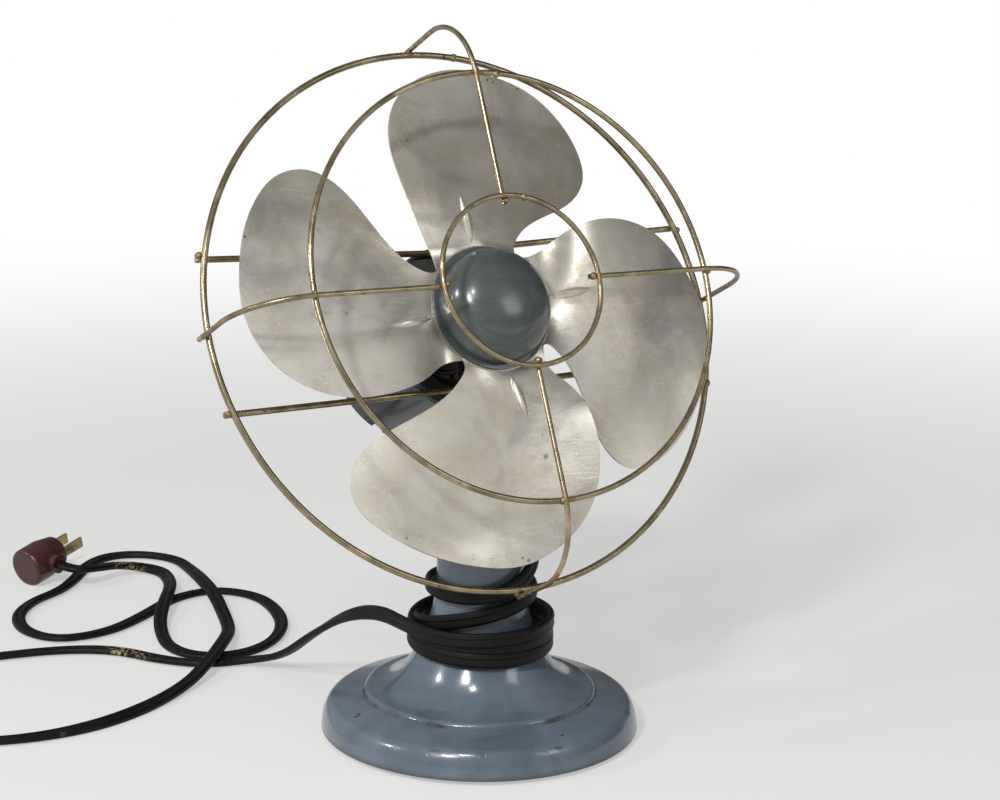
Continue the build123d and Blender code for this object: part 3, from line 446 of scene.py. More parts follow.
bladeFinish = {
    "bright": (0.79, 0.76, 0.67), "dull": (0.60, 0.565, 0.475),
    "plain": {"Metallic": 0.72}, "patches": 17.0,
    "roughness": (0.26, 0.39), "roughParts": (1, 0.7), "roughest": 1.5,
    # stains and smoke: colour, noise, edge and strength
    "stain": (0.37, 0.29, 0.17), "stains": (24.0, 6, 0.62, 1.2), "stainEdge": (0.47, 0.66),
    "stainStrength": 0.42,
    "smoke": (0.27, 0.275, 0.27), "smokes": (15.0, 5, 0.6, 0.8), "smokeEdge": (0.52, 0.68),
    "smokeStrength": 0.6,
    "scratch": (0.9, 0.89, 0.86), "scratches": ((44.0, 0.8), (100.0, 0.5)), "scratchStrength": 0.5,
    "pit": (0.10, 0.075, 0.05), "pits": (110.0, 0.14), "pitStrength": 0.6,
    # nicks show out at the tips, and the root is dark, both by metres from the rotor axis
    "nick": (0.09, 0.05, 0.025), "nicks": (330.0, 0.2), "tipEdge": (0.122, 0.132),
    "root": (0.16, 0.15, 0.14), "rootEdge": (0.034, 0.040), "rootStrength": 0.6,
    "grain": (900.0, 2), "grainDrawn": 0.12, "dents": (14.0, 2),
    "heights": (0.2, -0.05, 1.6), "bump": (0.3, 0.0005),
}


def makeBlade():
    # tarnished sheet: pale bare patches, brown and smoky stains, fine scratches every way, nicked tips
    material, tree, shader, place = startMaterial("bladeSheet", bladeFinish["plain"])
    head = headPlace(tree, place)
    away = fromAxis(tree, splitPlace(tree, head))
    patches = effect(tree, clouds, place, bladeFinish["patches"])
    stains = remap(tree, noise(tree, place, *bladeFinish["stains"]), *bladeFinish["stainEdge"])
    smoke = remap(tree, noise(tree, head, *bladeFinish["smokes"]), *bladeFinish["smokeEdge"])
    color = mixColor(tree, patches, bladeFinish["dull"], bladeFinish["bright"])
    color = tint(tree, color, stains, bladeFinish["stainStrength"], bladeFinish["stain"])
    color = tint(tree, color, smoke, bladeFinish["smokeStrength"], bladeFinish["smoke"])
    lines = most(tree, *(effect(tree, scratches, head, *marks) for marks in bladeFinish["scratches"]))
    color = tint(tree, color, lines, bladeFinish["scratchStrength"], bladeFinish["scratch"])
    pits = effect(tree, specks, place, *bladeFinish["pits"])
    color = tint(tree, color, pits, bladeFinish["pitStrength"], bladeFinish["pit"])
    nicks = effect(tree, specks, head, *bladeFinish["nicks"])
    nicks = times(tree, nicks, remap(tree, away, *bladeFinish["tipEdge"]))
    color = mixColor(tree, nicks, color, bladeFinish["nick"])
    root = remap(tree, away, *bladeFinish["rootEdge"], 1, 0)
    color = tint(tree, color, root, bladeFinish["rootStrength"], bladeFinish["root"])
    uneven = weighted(tree, (stains, smoke), bladeFinish["roughParts"])
    rough = remap(tree, uneven, 0, bladeFinish["roughest"], *bladeFinish["roughness"])
    drawn = put(tree, "Mapping", {"Vector": head, "Scale": (bladeFinish["grainDrawn"], 1, 1)}).outputs[0]
    grain = noise(tree, drawn, *bladeFinish["grain"])
    dents = noise(tree, place, *bladeFinish["dents"])
    height = weighted(tree, (grain, lines, dents), bladeFinish["heights"])
    finishMaterial(tree, shader, color, rough, height, *bladeFinish["bump"])
    return material


# where the guard's wires cross, in millimetres and degrees: its middle above the rotor axis, the turn of the
# ribs, and the radius of each hoop that they cross
guardShape = {"lift": 3.5, "turn": -2.4, "radii": (44.5, 112.5, 147.0)}
wireFinish = {
    "bright": (0.47, 0.39, 0.235), "dull": (0.19, 0.152, 0.092),
    "roughness": (0.26, 0.5), "roughParts": (0.5, 1), "roughest": 1.4,
    "patches": 60.0, "patchStrength": 0.6, "rubbed": (34.0, 4, 0.6), "rubbedEdge": (0.5, 0.66),
    "rust": (0.19, 0.080, 0.028), "rusty": (210.0, 5, 0.65), "rustyEdge": (0.45, 0.62), "rustStrength": 0.8,
    "pit": (0.05, 0.035, 0.02), "pits": (170.0, 0.2), "pitStrength": 0.75,
    "weldEdge": (0.003, 0.010), "barEdge": (0.128, 0.142),  # near a weld, and out along a bar, in metres
    "metallic": 0.92, "rustMetallic": 0.6,
    "grain": (700.0, 3), "heights": (0.35, 0.9, -0.6), "bump": (0.35, 0.0003),
}


def makeWire(name, where):
    # dull plated wire, bright where it is rubbed; rust where wires meet: where says how to tell
    material, tree, shader, place = startMaterial(name, {})
    parts = splitPlace(tree, headPlace(tree, place, guardShape["lift"] * mm, radians(-guardShape["turn"])))
    if where == "rings":
        sides = [calc(tree, "ABSOLUTE", part) for part in (parts[0], parts[1])]
        meets = remap(tree, calc(tree, "MINIMUM", *sides), *wireFinish["weldEdge"], 1, 0)
    elif where == "ribs":
        away = fromAxis(tree, parts)
        reach = wireFinish["weldEdge"][1]
        meets = most(tree, *(near(tree, away, radius * mm, reach) for radius in guardShape["radii"]))
    else:
        meets = remap(tree, calc(tree, "ABSOLUTE", parts[0]), *wireFinish["barEdge"])
    patches = effect(tree, clouds, place, wireFinish["patches"])
    rubbed = remap(tree, noise(tree, place, *wireFinish["rubbed"]), *wireFinish["rubbedEdge"])
    shine = most(tree, times(tree, patches, wireFinish["patchStrength"]), rubbed)
    color = mixColor(tree, shine, wireFinish["dull"], wireFinish["bright"])
    rusty = remap(tree, noise(tree, place, *wireFinish["rusty"]), *wireFinish["rustyEdge"])
    rust = times(tree, meets, rusty)
    pits = effect(tree, specks, place, *wireFinish["pits"])
    color = tint(tree, color, pits, wireFinish["pitStrength"], wireFinish["pit"])
    color = tint(tree, color, rust, wireFinish["rustStrength"], wireFinish["rust"])
    uneven = weighted(tree, (patches, rust), wireFinish["roughParts"])
    rough = remap(tree, uneven, 0, wireFinish["roughest"], *wireFinish["roughness"])
    metal = calc(tree, "SUBTRACT", wireFinish["metallic"], times(tree, rust, wireFinish["rustMetallic"]))
    tree.links.new(metal, shader.inputs["Metallic"])
    grain = noise(tree, place, *wireFinish["grain"])
    height = weighted(tree, (grain, rust, pits), wireFinish["heights"])
    finishMaterial(tree, shader, color, rough, height, *wireFinish["bump"])
    return material


# what the plain finishes share, and then their own values
plainWear = {
    "markScale": 3, "markStrength": 0.7, "lineStrength": 0.5, "darker": 0.4, "lighter": 1.5,
    "smoother": 0.08, "rougher": 0.12, "roughest": 1.6, "heights": (0.5, -0.5), "bumpDepth": 0.0003,
}
plainFinishes = {
    "platedSteel": {
        "light": (0.50, 0.49, 0.46), "dark": (0.26, 0.245, 0.22), "stain": (0.16, 0.09, 0.05),
        "roughness": 0.36, "metallic": 1.0, "scale": 90.0,
    },
    "shaftSteel": {
        "light": (0.55, 0.55, 0.55), "dark": (0.38, 0.38, 0.37),
        "roughness": 0.27, "metallic": 1.0, "scale": 70.0,
    },
    "coreSteel": {
        "light": (0.22, 0.21, 0.20), "dark": (0.12, 0.11, 0.10),
        "roughness": 0.48, "metallic": 0.8, "wear": 0.35,
    },
    # the winding's dark varnished copper, darkened further as painted shade for the shade inside the motor
    # behind the front cover's windows
    "windingWirePaintedShade": {
        "light": (0.14, 0.052, 0.022), "dark": (0.06, 0.024, 0.012),
        "roughness": 0.35, "metallic": 0.4, "scale": 90.0, "grain": 1500.0, "bump": 0.7,
    },
    "bearingBronze": {
        "light": (0.52, 0.34, 0.17), "dark": (0.34, 0.21, 0.10),
        "roughness": 0.40, "metallic": 0.9, "scale": 90.0,
    },
    "baseFelt": {
        "light": (0.10, 0.115, 0.10), "dark": (0.055, 0.065, 0.055),
        "roughness": 0.85, "scale": 70.0, "grain": 1400.0, "bump": 0.9, "wear": 0.1,
    },
    "blackRubber": {
        "light": (0.028, 0.027, 0.026), "dark": (0.014, 0.014, 0.014), "roughness": 0.5, "wear": 0.15,
    },
    "plugMoulding": {
        "light": (0.075, 0.024, 0.020), "dark": (0.036, 0.013, 0.012), "roughness": 0.33, "wear": 0.22,
    },
    "prongBrass": {
        "light": (0.66, 0.50, 0.25), "dark": (0.40, 0.28, 0.13), "stain": (0.12, 0.07, 0.03),
        "roughness": 0.32, "metallic": 1.0, "scale": 90.0,
    },
    "weldMetal": {
        "light": (0.36, 0.27, 0.14), "dark": (0.15, 0.10, 0.05), "stain": (0.20, 0.07, 0.02),
        "roughness": 0.46, "metallic": 0.8, "scale": 220.0, "bump": 0.8, "wear": 0.5,
    },
}


def makePlain(
    name, light, dark, roughness, metallic=0.0, scale=60.0, grain=600.0, bump=0.3, wear=0.3, stain=None,
):
    # a plain finish with colour patches, specks, scratches and a grain of its own
    material, tree, shader, place = startMaterial(name, {"Metallic": metallic})
    darker = stain or tuple(plainWear["darker"] * part for part in dark)
    lighter = tuple(min(1.0, plainWear["lighter"] * part) for part in light)
    patches = effect(tree, clouds, place, scale)
    marks = effect(tree, specks, place, plainWear["markScale"] * scale, wear)
    lines = effect(tree, scratches, place, scale, wear)
    color = mixColor(tree, patches, dark, light)
    color = tint(tree, color, marks, plainWear["markStrength"], darker)
    color = tint(tree, color, lines, plainWear["lineStrength"], lighter)
    ends = (roughness - plainWear["smoother"], roughness + plainWear["rougher"])
    rough = remap(tree, calc(tree, "ADD", patches, marks), 0, plainWear["roughest"], *ends)
    height = weighted(tree, (noise(tree, place, grain, 3), marks), plainWear["heights"])
    finishMaterial(tree, shader, color, rough, height, bump, plainWear["bumpDepth"])
    return material


rubberFinish = {
    "light": (0.0060, 0.0057, 0.0055), "dark": (0.0025, 0.0024, 0.0023),
    "roughness": (0.40, 0.62), "roughest": 1.6,
    "plain": {"IOR": 1.42, "Specular IOR Level": 0.25}, "patches": 45.0, "ribs": 14,
    "dust": (0.016, 0.013, 0.010), "dustPatches": 220.0, "grooveEdge": (-1.0, 0.2), "dustStrength": 0.4,
    "bare": (0.06, 0.05, 0.038), "bares": (60.0, 0.1), "bareStrength": 0.5, "cracks": (90.0, 0.6),
    # places on the table where the covering is frayed: x, y and how far it reaches, in metres
    "frayed": ((-0.117, 0.190, 0.018), (-0.062, 0.324, 0.014)), "frayedHeight": 0.004, "frayedCore": 0.4,
    "thread": (0.34, 0.27, 0.13), "threads": (420.0, 3, 0.6, 0.6), "threadEdge": (0.5, 0.6),
    "grain": (500.0, 3), "heights": (0.45, 0.4, -0.4), "bump": (0.5, 0.0003),
}


def makeCordRubber():
    # aged black rubber: fine ribs run along both cores, with dust in their grooves, cracks and frayed places
    material, tree, shader, place = startMaterial("cordRubber", rubberFinish["plain"])
    across = splitPlace(tree, put(tree, "UVMap", uv_map="strand").outputs[0])[0]
    ribs = calc(tree, "SINE", times(tree, across, 2 * np.pi * rubberFinish["ribs"]))
    patches = effect(tree, clouds, place, rubberFinish["patches"])
    color = mixColor(tree, patches, rubberFinish["dark"], rubberFinish["light"])
    dust = effect(tree, clouds, place, rubberFinish["dustPatches"])
    dust = times(tree, remap(tree, ribs, *rubberFinish["grooveEdge"], 1, 0), dust)
    color = tint(tree, color, dust, rubberFinish["dustStrength"], rubberFinish["dust"])
    bare = effect(tree, specks, place, *rubberFinish["bares"])
    color = tint(tree, color, bare, rubberFinish["bareStrength"], rubberFinish["bare"])
    threads = remap(tree, noise(tree, place, *rubberFinish["threads"]), *rubberFinish["threadEdge"])
    for x, y, reach in rubberFinish["frayed"]:
        ends = {0: place, 1: (x, y, rubberFinish["frayedHeight"])}
        gap = put(tree, "VectorMath", ends, operation="DISTANCE").outputs["Value"]
        torn = remap(tree, gap, rubberFinish["frayedCore"] * reach, reach, 1, 0)
        color = mixColor(tree, times(tree, threads, torn), color, rubberFinish["thread"])
    cracks = effect(tree, scratches, place, *rubberFinish["cracks"])
    uneven = calc(tree, "ADD", patches, cracks)
    rough = remap(tree, uneven, 0, rubberFinish["roughest"], *rubberFinish["roughness"])
    grain = noise(tree, place, *rubberFinish["grain"])
    height = weighted(tree, (ribs, grain, cracks), rubberFinish["heights"])
    finishMaterial(tree, shader, color, rough, height, *rubberFinish["bump"])
    return material


finishes = {
    "baseEnamel": makeEnamel("baseEnamel", "light", "dark", baseWearAndShade),
    # the head's enamel is darkened as painted shade
    "headEnamelPaintedShade": makeEnamel("headEnamelPaintedShade", "headLightPaintedShade", "headDarkPaintedShade"),
    "spinnerGloss": makeSpinner(),
    "bladeSheet": makeBlade(),
    "ringWire": makeWire("ringWire", "rings"),
    "ribWire": makeWire("ribWire", "ribs"),
    "barWire": makeWire("barWire", "bars"),
    "cordRubber": makeCordRubber(),
    **{name: makePlain(name, **values) for name, values in plainFinishes.items()},
}

# the frame's own nodes that each finish goes on
nodeFinishes = {
    "baseEnamel": ("base_shell",),
    "headEnamelPaintedShade": ("tilt_yoke", "motor_housing", "motor_front_cover"),
    "spinnerGloss": ("spinner_cap",),
    "bladeSheet": ("blade_wheel",),
    "ringWire": ("guard_rear_ring", "guard_middle_ring", "guard_centre_ring"),
    "ribWire": ("guard_rib_1", "guard_rib_2", "guard_rib_3", "guard_rib_4"),
    "barWire": ("guard_bar_upper", "guard_bar_lower"),
    "platedSteel": (
        "guard_clips", "clip_screws", "case_screws", "plate_screws", "hinge_bolt", "wing_nut", "yoke_nut",
        "hub_set_screw", "clamp_washer", "friction_washers", "bottom_plate", "blade_rivets", "blade_hub",
    ),
    "shaftSteel": ("shaft",),
    "coreSteel": ("stator_core", "rotor_core"),
    "windingWirePaintedShade": ("stator_coils",),
    "bearingBronze": ("front_bearing", "rear_bearing", "thrust_washers"),
    "baseFelt": ("base_felt", "oil_felt"),
    "blackRubber": ("cord_grommet",),
    "plugMoulding": ("plug_body",),
    "prongBrass": ("plug_prongs",),
}
for finish, nodes in nodeFinishes.items():
    for name in nodes:
        slots = frame["nodes"][name].material_slots
        for slot in slots:
            slot.material = finishes[finish]
        if not len(slots):
            frame["nodes"][name].data.materials.append(finishes[finish])
print("finishes made", len(finishes))


# meshes and points

def addPiece(name, points, faces):
    mesh = bpy.data.meshes.new(name)
    mesh.from_pydata(np.asarray(points, float).tolist(), [], [tuple(map(int, face)) for face in faces])
    mesh.validate()
    mesh.shade_smooth()
    return addToScene(bpy.data.objects.new(name, mesh))


def gridFaces(rows, around):
    # quads between the rows of a grid of points; each row closes on itself
    row, column = np.meshgrid(np.arange(rows - 1), np.arange(around), indexing="ij")
    after = (column + 1) % around
    corners = ((row, column), (row, after), (row + 1, after), (row + 1, column))
    return np.stack([r * around + c for r, c in corners], -1).reshape(-1, 4)


def tubeFaces(rows, around):
    # a grid's quads with both ends closed
    ends = [list(range(around))[::-1], [(rows - 1) * around + step for step in range(around)]]
    return gridFaces(rows, around).tolist() + ends


def nodePoints(node):
    mesh = frame["nodes"][node].data
    points = np.empty(len(mesh.vertices) * 3)
    mesh.vertices.foreach_get("co", points)
    return points.reshape(-1, 3)


def unit(vectors):
    return vectors / np.linalg.norm(vectors, axis=-1, keepdims=True)


def travelled(line):
    # how far along a line each of its points is
    return np.concatenate(([0], np.cumsum(np.linalg.norm(np.diff(line, axis=0), axis=1))))


def circle(steps):
    # angles of a ring's points
    return np.linspace(0, 2 * np.pi, steps, endpoint=False)


# cord: flat two-core lead, from the motor down to the neck, round it, and over the table to the plug

# lengths in millimetres and angles in degrees, apart from the two heights given in metres
cord = {
    "width": 8.0,
    "thickness": 4.3,
    "groove": 0.34,
    "grooveWidth": 1.1,
    "squareness": (0.8, 0.75),  # powers that square the section up: across it, through it
    "around": 28,
    "resolution": 10,
    "exitTurn": -65,  # way out of the motor: degrees up the head from straight across
    "exitRim": 0.2,  # depth of the grommet's outer face, whose middle is the exit
    # lie of the cord round the neck, within this radius and between these heights, and how it turns flat
    "neck": 42,
    "neckHeights": (40, 84),
    "turnOver": 90,
    "wobble": ((0.10, 61), (0.08, 23)),  # slow waves in the lie of the flat: size and length
    # how far the flat cord comes down onto the table, and over which lengths after the neck and before
    # the plug
    "floorDrop": 1.75,
    "floorStart": 60,
    "floorFull": 80,
    "plugRise": 60,
    # turns round the neck: angle seen from above, distance from the middle, height
    "turns": (
        (-28, 28.4, 97), (-50, 28.0, 91.5), (-75, 27.8, 86), (-100, 27.8, 82), (-140, 27.8, 80.5),
        (-180, 27.8, 81), (-270, 28.0, 80), (-380, 28.4, 78.5), (-430, 28.6, 76), (-475, 29.4, 71.5),
        (-515, 31.5, 67), (-550, 34.0, 62), (-630, 36.5, 55), (-740, 37.5, 50.5), (-810, 37.6, 49.3),
        (-900, 37.6, 51.5), (-990, 37.2, 54.5), (-1100, 37.4, 56), (-1170, 37.4, 56.5), (-1260, 37.4, 58.5),
        (-1350, 36.6, 61.5), (-1460, 37.8, 61.5), (-1530, 38.2, 61.5), (-1600, 38.8, 60.5),
    ),
    "turnPoints": 16,
    "straight": 18.0,
    # heights in metres: below the first the cord stays with the neck, above the second it goes with the motor
    "still": 0.101,
    "carried": 0.142,
    "drop": ((31.0, 6, 120), (28.6, -4.6, 108), (27.0, -9.6, 103)),
    "lead": (
        (-38.6, 12, 60), (-39, 40, 59), (-43, 68, 50), (-49, 98, 31), (-53, 126, 11), (-64, 147, 4.3),
        (-88, 151, 4.2), (-108, 172, 4.2), (-123, 199, 4.2), (-150, 214, 4.2), (-187, 221, 4.2),
        (-226, 225, 4.2), (-262, 204, 4.2), (-280, 168, 4.2), (-279, 136, 4.2), (-258, 108, 4.2),
        (-222, 93, 4.2), (-183, 92, 4.2), (-145, 105, 4.2), (-113, 125, 5), (-93, 141, 9), (-66, 174, 9),
        (-52, 198, 5), (-42, 228, 4.6), (-36, 254, 8.8), (-31, 284, 8.8), (-24, 312, 4.6), (-22, 338, 4.2),
        (-37, 358, 4.2), (-58, 364, 4.2), (-77, 352, 4.2), (-92, 332, 4.2), (-109, 314, 4.2),
        (-133, 302, 4.2), (-151, 281, 4.2), (-157, 253, 4.2), (-145, 230, 4.2), (-115, 229, 4.2),
        (-85, 246, 4.2), (-57, 268, 4.2), (-28, 272, 4.2), (-10, 250, 4.2), (-11, 220, 4.2), (-21, 190, 4.2),
        (-41, 166, 4.2), (-66, 157, 4.2), (-88, 166, 4.2), (-95, 188, 4.2), (-89, 212, 4.4), (-80, 234, 6),
        (-69, 252, 8.8), (-54, 276, 8.8), (-45, 299, 5.6), (-41, 318, 4.6), (-52, 331, 6), (-68, 329, 9),
        (-84, 320, 11.6), (-99, 319, 12.6), (-103.5, 329.8, 13.5),
    ),
}

exitTurn = radians(cord["exitTurn"])
exitDirection = np.cos(exitTurn) * acrossAxis + np.sin(exitTurn) * upAxis


def cordExit():
    # the middle of the grommet's outer face
    grommet = nodePoints("cord_grommet") / mm
    away = grommet @ exitDirection
    return grommet[away > away.max() - cord["exitRim"]].mean(axis=0)


def cordRoute():
    # the route's control points: straight out, the drop, the turns as an angle, radius and height each read
    # off their list at even steps of angle, then the lead
    turns = np.array(cord["turns"], float)
    count = int((turns[0, 0] - turns[-1, 0]) / 360 * cord["turnPoints"])
    angle = np.linspace(turns[0, 0], turns[-1, 0], count)
    order = np.argsort(turns[:, 0])
    radius = np.interp(angle, turns[order, 0], turns[order, 1])
    height = np.interp(angle, turns[order, 0], turns[order, 2])
    wound = np.stack((radius * np.cos(np.radians(angle)), radius * np.sin(np.radians(angle)), height), -1)
    exitPoint = cordExit()
    start = np.stack((exitPoint, exitPoint + cord["straight"] * exitDirection))
    return np.concatenate((start, np.array(cord["drop"], float), wound, np.array(cord["lead"], float)))


def splineThrough(points, resolution):
    # points read from one smooth NURBS spline with the route's points as its control points
    curve = bpy.data.curves.new("route", "CURVE")
    curve.dimensions = "3D"
    curve.resolution_u = resolution
    spline = curve.splines.new("NURBS")
    spline.points.add(len(points) - 1)
    spline.points.foreach_set("co", np.column_stack((points, np.ones(len(points)))).ravel())
    spline.order_u = 3
    spline.use_endpoint_u = True
    holder = addToScene(bpy.data.objects.new("route", curve))
    bpy.context.view_layer.update()
    mesh = bpy.data.meshes.new_from_object(holder)
    line = np.empty(len(mesh.vertices) * 3)
    mesh.vertices.foreach_get("co", line)
    bpy.data.objects.remove(holder)
    return line.reshape(-1, 3)


def cordFrames(line):
    # the flat of the cord stands upright round the neck and lies down along the table, turning over
    # in between; up the drop it is carried back from the first turn so that it doesn't twist
    foot, top = cord["neckHeights"]
    tangent = unit(np.gradient(line, axis=0))
    height = line[:, 2]
    travel = travelled(line)
    wound = (np.hypot(line[:, 0], line[:, 1]) < cord["neck"]) & (height > foot)
    last = np.flatnonzero(wound)[-1]
    first = np.flatnonzero(wound & (height < top))[0]
    after = travel - travel[last]
    lean = np.clip(after / cord["turnOver"], 0, 1)
    wobble = sum(size * np.sin(travel / long) for size, long in cord["wobble"])
    lean = lean * lean * (3 - 2 * lean) * (1 + wobble)
    side = unit(np.cross(tangent, (0, 0, 1)))
    upright = unit(np.cross(side, tangent))
    wide = np.cos(lean * np.pi / 2)[:, None] * upright + np.sin(lean * np.pi / 2)[:, None] * side
    for step in range(first - 1, -1, -1):
        carried = wide[step + 1] - tangent[step] * (wide[step + 1] @ tangent[step])
        wide[step] = carried / np.linalg.norm(carried)
    drop = cord["floorDrop"] * np.clip((after - cord["floorStart"]) / cord["floorFull"], 0, 1)
    drop *= np.clip((travel[-1] - travel) / cord["plugRise"], 0, 1)
    return tangent, wide, drop


def makeCord():
    # each row is the cord's section at a point of its line: half the width times the cosine of an angle, and
    # half the thickness times its sine, both squared up by a power, the second pinched in by a bell curve
    # where the two cores meet
    line = splineThrough(cordRoute(), cord["resolution"])
    tangent, wide, drop = cordFrames(line)
    thin = unit(np.cross(tangent, wide))
    turn = circle(cord["around"])
    cosine, sine = np.cos(turn), np.sin(turn)
    widePower, thinPower = cord["squareness"]
    across = cord["width"] / 2 * np.sign(cosine) * np.abs(cosine) ** widePower
    pinch = 1 - cord["groove"] * np.exp(-((across / cord["grooveWidth"]) ** 2))
    deep = cord["thickness"] / 2 * np.sign(sine) * np.abs(sine) ** thinPower * pinch
    middle = line - drop[:, None] * np.array((0, 0, 1))
    points = middle[:, None] + across[:, None] * wide[:, None] + deep[:, None] * thin[:, None]
    rows = len(line)
    piece = addPiece("cord", points.reshape(-1, 3) * mm, tubeFaces(rows, cord["around"]))
    # the strand map: u once round the section, v along the cord in metres
    travel = travelled(line)
    column, row = np.meshgrid(np.arange(cord["around"]), np.arange(rows - 1))
    u = np.stack((column, column + 1, column + 1, column), -1) / cord["around"]
    v = travel[np.stack((row, row, row + 1, row + 1), -1)] * mm
    strand = np.zeros((len(piece.data.loops), 2))
    strand[: u.size] = np.stack((u.ravel(), v.ravel()), -1)
    piece.data.uv_layers.new(name="strand").data.foreach_set("uv", strand.ravel())
    piece.data.materials.append(finishes["cordRubber"])
    return piece, line * mm


cordPiece, cordLine = makeCord()
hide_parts("cord_drop", "cord_wrap", "cord_lead")
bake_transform(cordPiece)


# strain relief: a tapered ribbed sleeve on the cord where it leaves the motor

# lengths in millimetres
reliefShape = {
    "length": 24.0, "sunk": 0.4, "start": 5.9, "end": 4.75, "rows": 90, "around": 40,
    # grooves: depth, number, how steep their sides are, and the parts of the length between which they lie
    "groove": 0.45, "grooves": 5, "steep": 3, "grooved": (0.08, 0.94),
    "mouthRounding": 0.9, "mouth": 2.2,
}


def makeRelief():
    # each row is a ring square to the cord's first stretch: its radius falls evenly from start to end, less a
    # clipped sine wave for the grooves, rounds over past the last of them, and closes in at the mouth
    line = cordLine / mm
    travel = travelled(line)
    along = np.linspace(-reliefShape["sunk"], reliefShape["length"], reliefShape["rows"])
    middle = np.stack([np.interp(along, travel, line[:, axis]) for axis in range(3)], -1)
    middle[along < 0] += along[along < 0][:, None] * exitDirection
    part = along / reliefShape["length"]
    first, last = reliefShape["grooved"]
    radius = reliefShape["start"] + (reliefShape["end"] - reliefShape["start"]) * np.clip(part, 0, 1)
    wave = np.sin(part * 2 * np.pi * reliefShape["grooves"] - np.pi / 2)
    wave = np.clip(reliefShape["steep"] * wave, -1, 1)
    radius -= reliefShape["groove"] * wave * (part > first) * (part < last)
    radius -= reliefShape["mouthRounding"] * np.clip((part - last) / (1 - last), 0, 1) ** 2
    radius = np.append(radius, reliefShape["mouth"])
    tangent = unit(np.gradient(middle, axis=0))
    middle, tangent = (np.append(rows, rows[-1:], axis=0) for rows in (middle, tangent))
    side = unit(np.cross(tangent, acrossAxis))
    other = np.cross(tangent, side)
    turn = circle(reliefShape["around"])[None, :, None]
    ring = np.cos(turn) * side[:, None] + np.sin(turn) * other[:, None]
    points = middle[:, None] + radius[:, None, None] * ring
    piece = addPiece("cordRelief", points.reshape(-1, 3) * mm, tubeFaces(len(radius), reliefShape["around"]))
    piece.data.materials.append(finishes["blackRubber"])
    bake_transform(piece)


makeRelief()
print("strain relief made")


# welds of the guard: a lump of metal where two wires cross, and a bead where each hoop is closed

# lengths in millimetres and angles in degrees
weldShape = {
    "around": 20, "rows": 14, "size": (1.75, 1.75, 2.3), "rough": 0.26,
    # slow waves over a lump: how many, how close together, and how far each may be shifted
    "waves": 5, "waveScale": 3.2, "waveShift": 5,
    # what a seam's bead adds to half its length and to the wire's radius
    "beadOver": (0.6, 0.55),
    # hoop, its angle from the right seen from in front, and the bead's length
    "seams": (
        ("guard_rear_ring", 78.0, 3.4), ("guard_rear_ring", -21.0, 3.4), ("guard_middle_ring", 81.0, 3.2),
        ("guard_centre_ring", 74.0, 2.8),
    ),
    "barEnd": 0.1,  # a bar's end is looked for beyond this distance from the middle, in metres
    "lumpSeed": 40, "seamSeed": 80, "block": 400,
}


def closestPlace(first, second, side=0):
    # the middle between the nearest points of two nodes' meshes, looked for a block of points at a time;
    # side -1 or 1 keeps to the ends on that side
    one, two = nodePoints(first), nodePoints(second)
    if side:
        one, two = (spots[spots[:, 0] * side > weldShape["barEnd"]] for spots in (one, two))
    block = weldShape["block"]
    best = None
    for start in range(0, len(one), block):
        away = np.linalg.norm(one[start:start + block, None] - two[None], axis=2)
        at = np.unravel_index(np.argmin(away), away.shape)
        if best is None or away[at] < best[0]:
            best = away[at], (one[start + at[0]] + two[at[1]]) / 2
    return best[1]


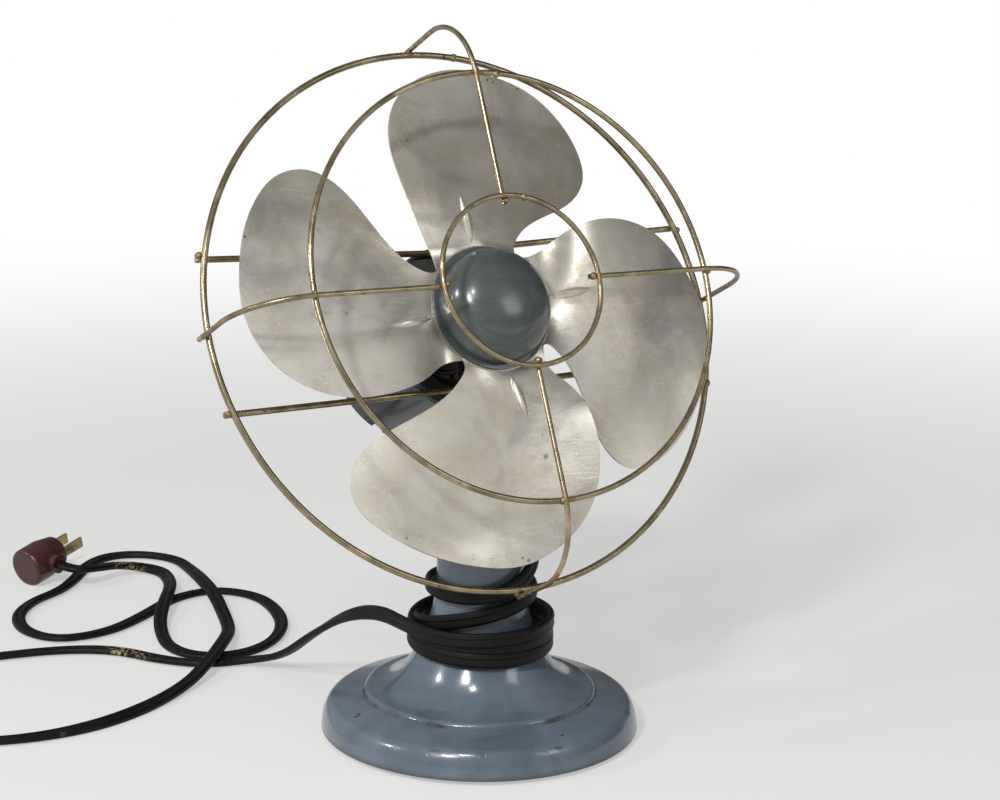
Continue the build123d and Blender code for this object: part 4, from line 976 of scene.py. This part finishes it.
def lump(middle, axes, sizes, seed):
    # a ball's grid, tilt by turn, scaled along three axes, its radius varied by a sum of slow sine waves
    tilt = np.linspace(0, np.pi, weldShape["rows"])[:, None]
    turn = circle(weldShape["around"])[None]
    level = np.cos(tilt) * np.ones_like(turn)
    ball = np.stack((np.sin(tilt) * np.cos(turn), np.sin(tilt) * np.sin(turn), level), -1)
    waves = np.random.default_rng(seed).uniform(-1, 1, (weldShape["waves"], 4))
    scale, shift = weldShape["waveScale"], weldShape["waveShift"]
    rough = sum(np.sin(scale * (ball @ wave[:3]) + shift * wave[3]) for wave in waves) / weldShape["waves"]
    ball = ball * (1 + weldShape["rough"] * rough[..., None]) * np.array(sizes) * mm
    return middle + ball.reshape(-1, 3) @ np.array(axes)


def merge(piece):
    # poles of a grid closed into one point each, and the faces turned outwards
    shape = bmesh.new()
    shape.from_mesh(piece.data)
    bmesh.ops.remove_doubles(shape, verts=shape.verts, dist=1e-6)
    bmesh.ops.recalc_face_normals(shape, faces=shape.faces)
    shape.to_mesh(piece.data)
    shape.free()
    piece.data.shade_smooth()


def makeWelds():
    places = []
    for rib in (f"guard_rib_{number}" for number in range(1, 5)):
        for ring in ("guard_centre_ring", "guard_middle_ring", "guard_rear_ring"):
            places.append(closestPlace(rib, ring))
    for bar in ("guard_bar_upper", "guard_bar_lower"):
        for side in (-1, 1):
            places.append(closestPlace(bar, "guard_rear_ring", side))
    axes = np.array((acrossAxis, upAxis, rotorAxis))
    seed = weldShape["lumpSeed"]
    points = [lump(place, axes, weldShape["size"], seed + number) for number, place in enumerate(places)]
    middle = rotorPlace + guardShape["lift"] * mm * upAxis
    endOver, sideOver = weldShape["beadOver"]
    for number, (ring, angle, long) in enumerate(weldShape["seams"]):
        spots = nodePoints(ring) - middle
        station = (spots @ rotorAxis).mean()
        away = np.hypot(spots @ acrossAxis, spots @ upAxis)
        radius, wire = (away.max() + away.min()) / 2, (away.max() - away.min()) / 2 / mm
        out = np.cos(radians(angle)) * acrossAxis + np.sin(radians(angle)) * upAxis
        spot = middle + radius * out + station * rotorAxis
        turned = np.array((np.cross(rotorAxis, out), out, rotorAxis))
        size = (long / 2 + endOver, wire + sideOver, wire + sideOver)
        points.append(lump(spot, turned, size, weldShape["seamSeed"] + number))
    rows, around = weldShape["rows"], weldShape["around"]
    quads = gridFaces(rows, around)[:, ::-1]
    faces = np.concatenate([quads + rows * around * number for number in range(len(points))])
    piece = addPiece("guardWelds", np.concatenate(points), faces)
    merge(piece)
    piece.data.materials.append(finishes["weldMetal"])
    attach(piece, "head")


makeWelds()
print("welds made")
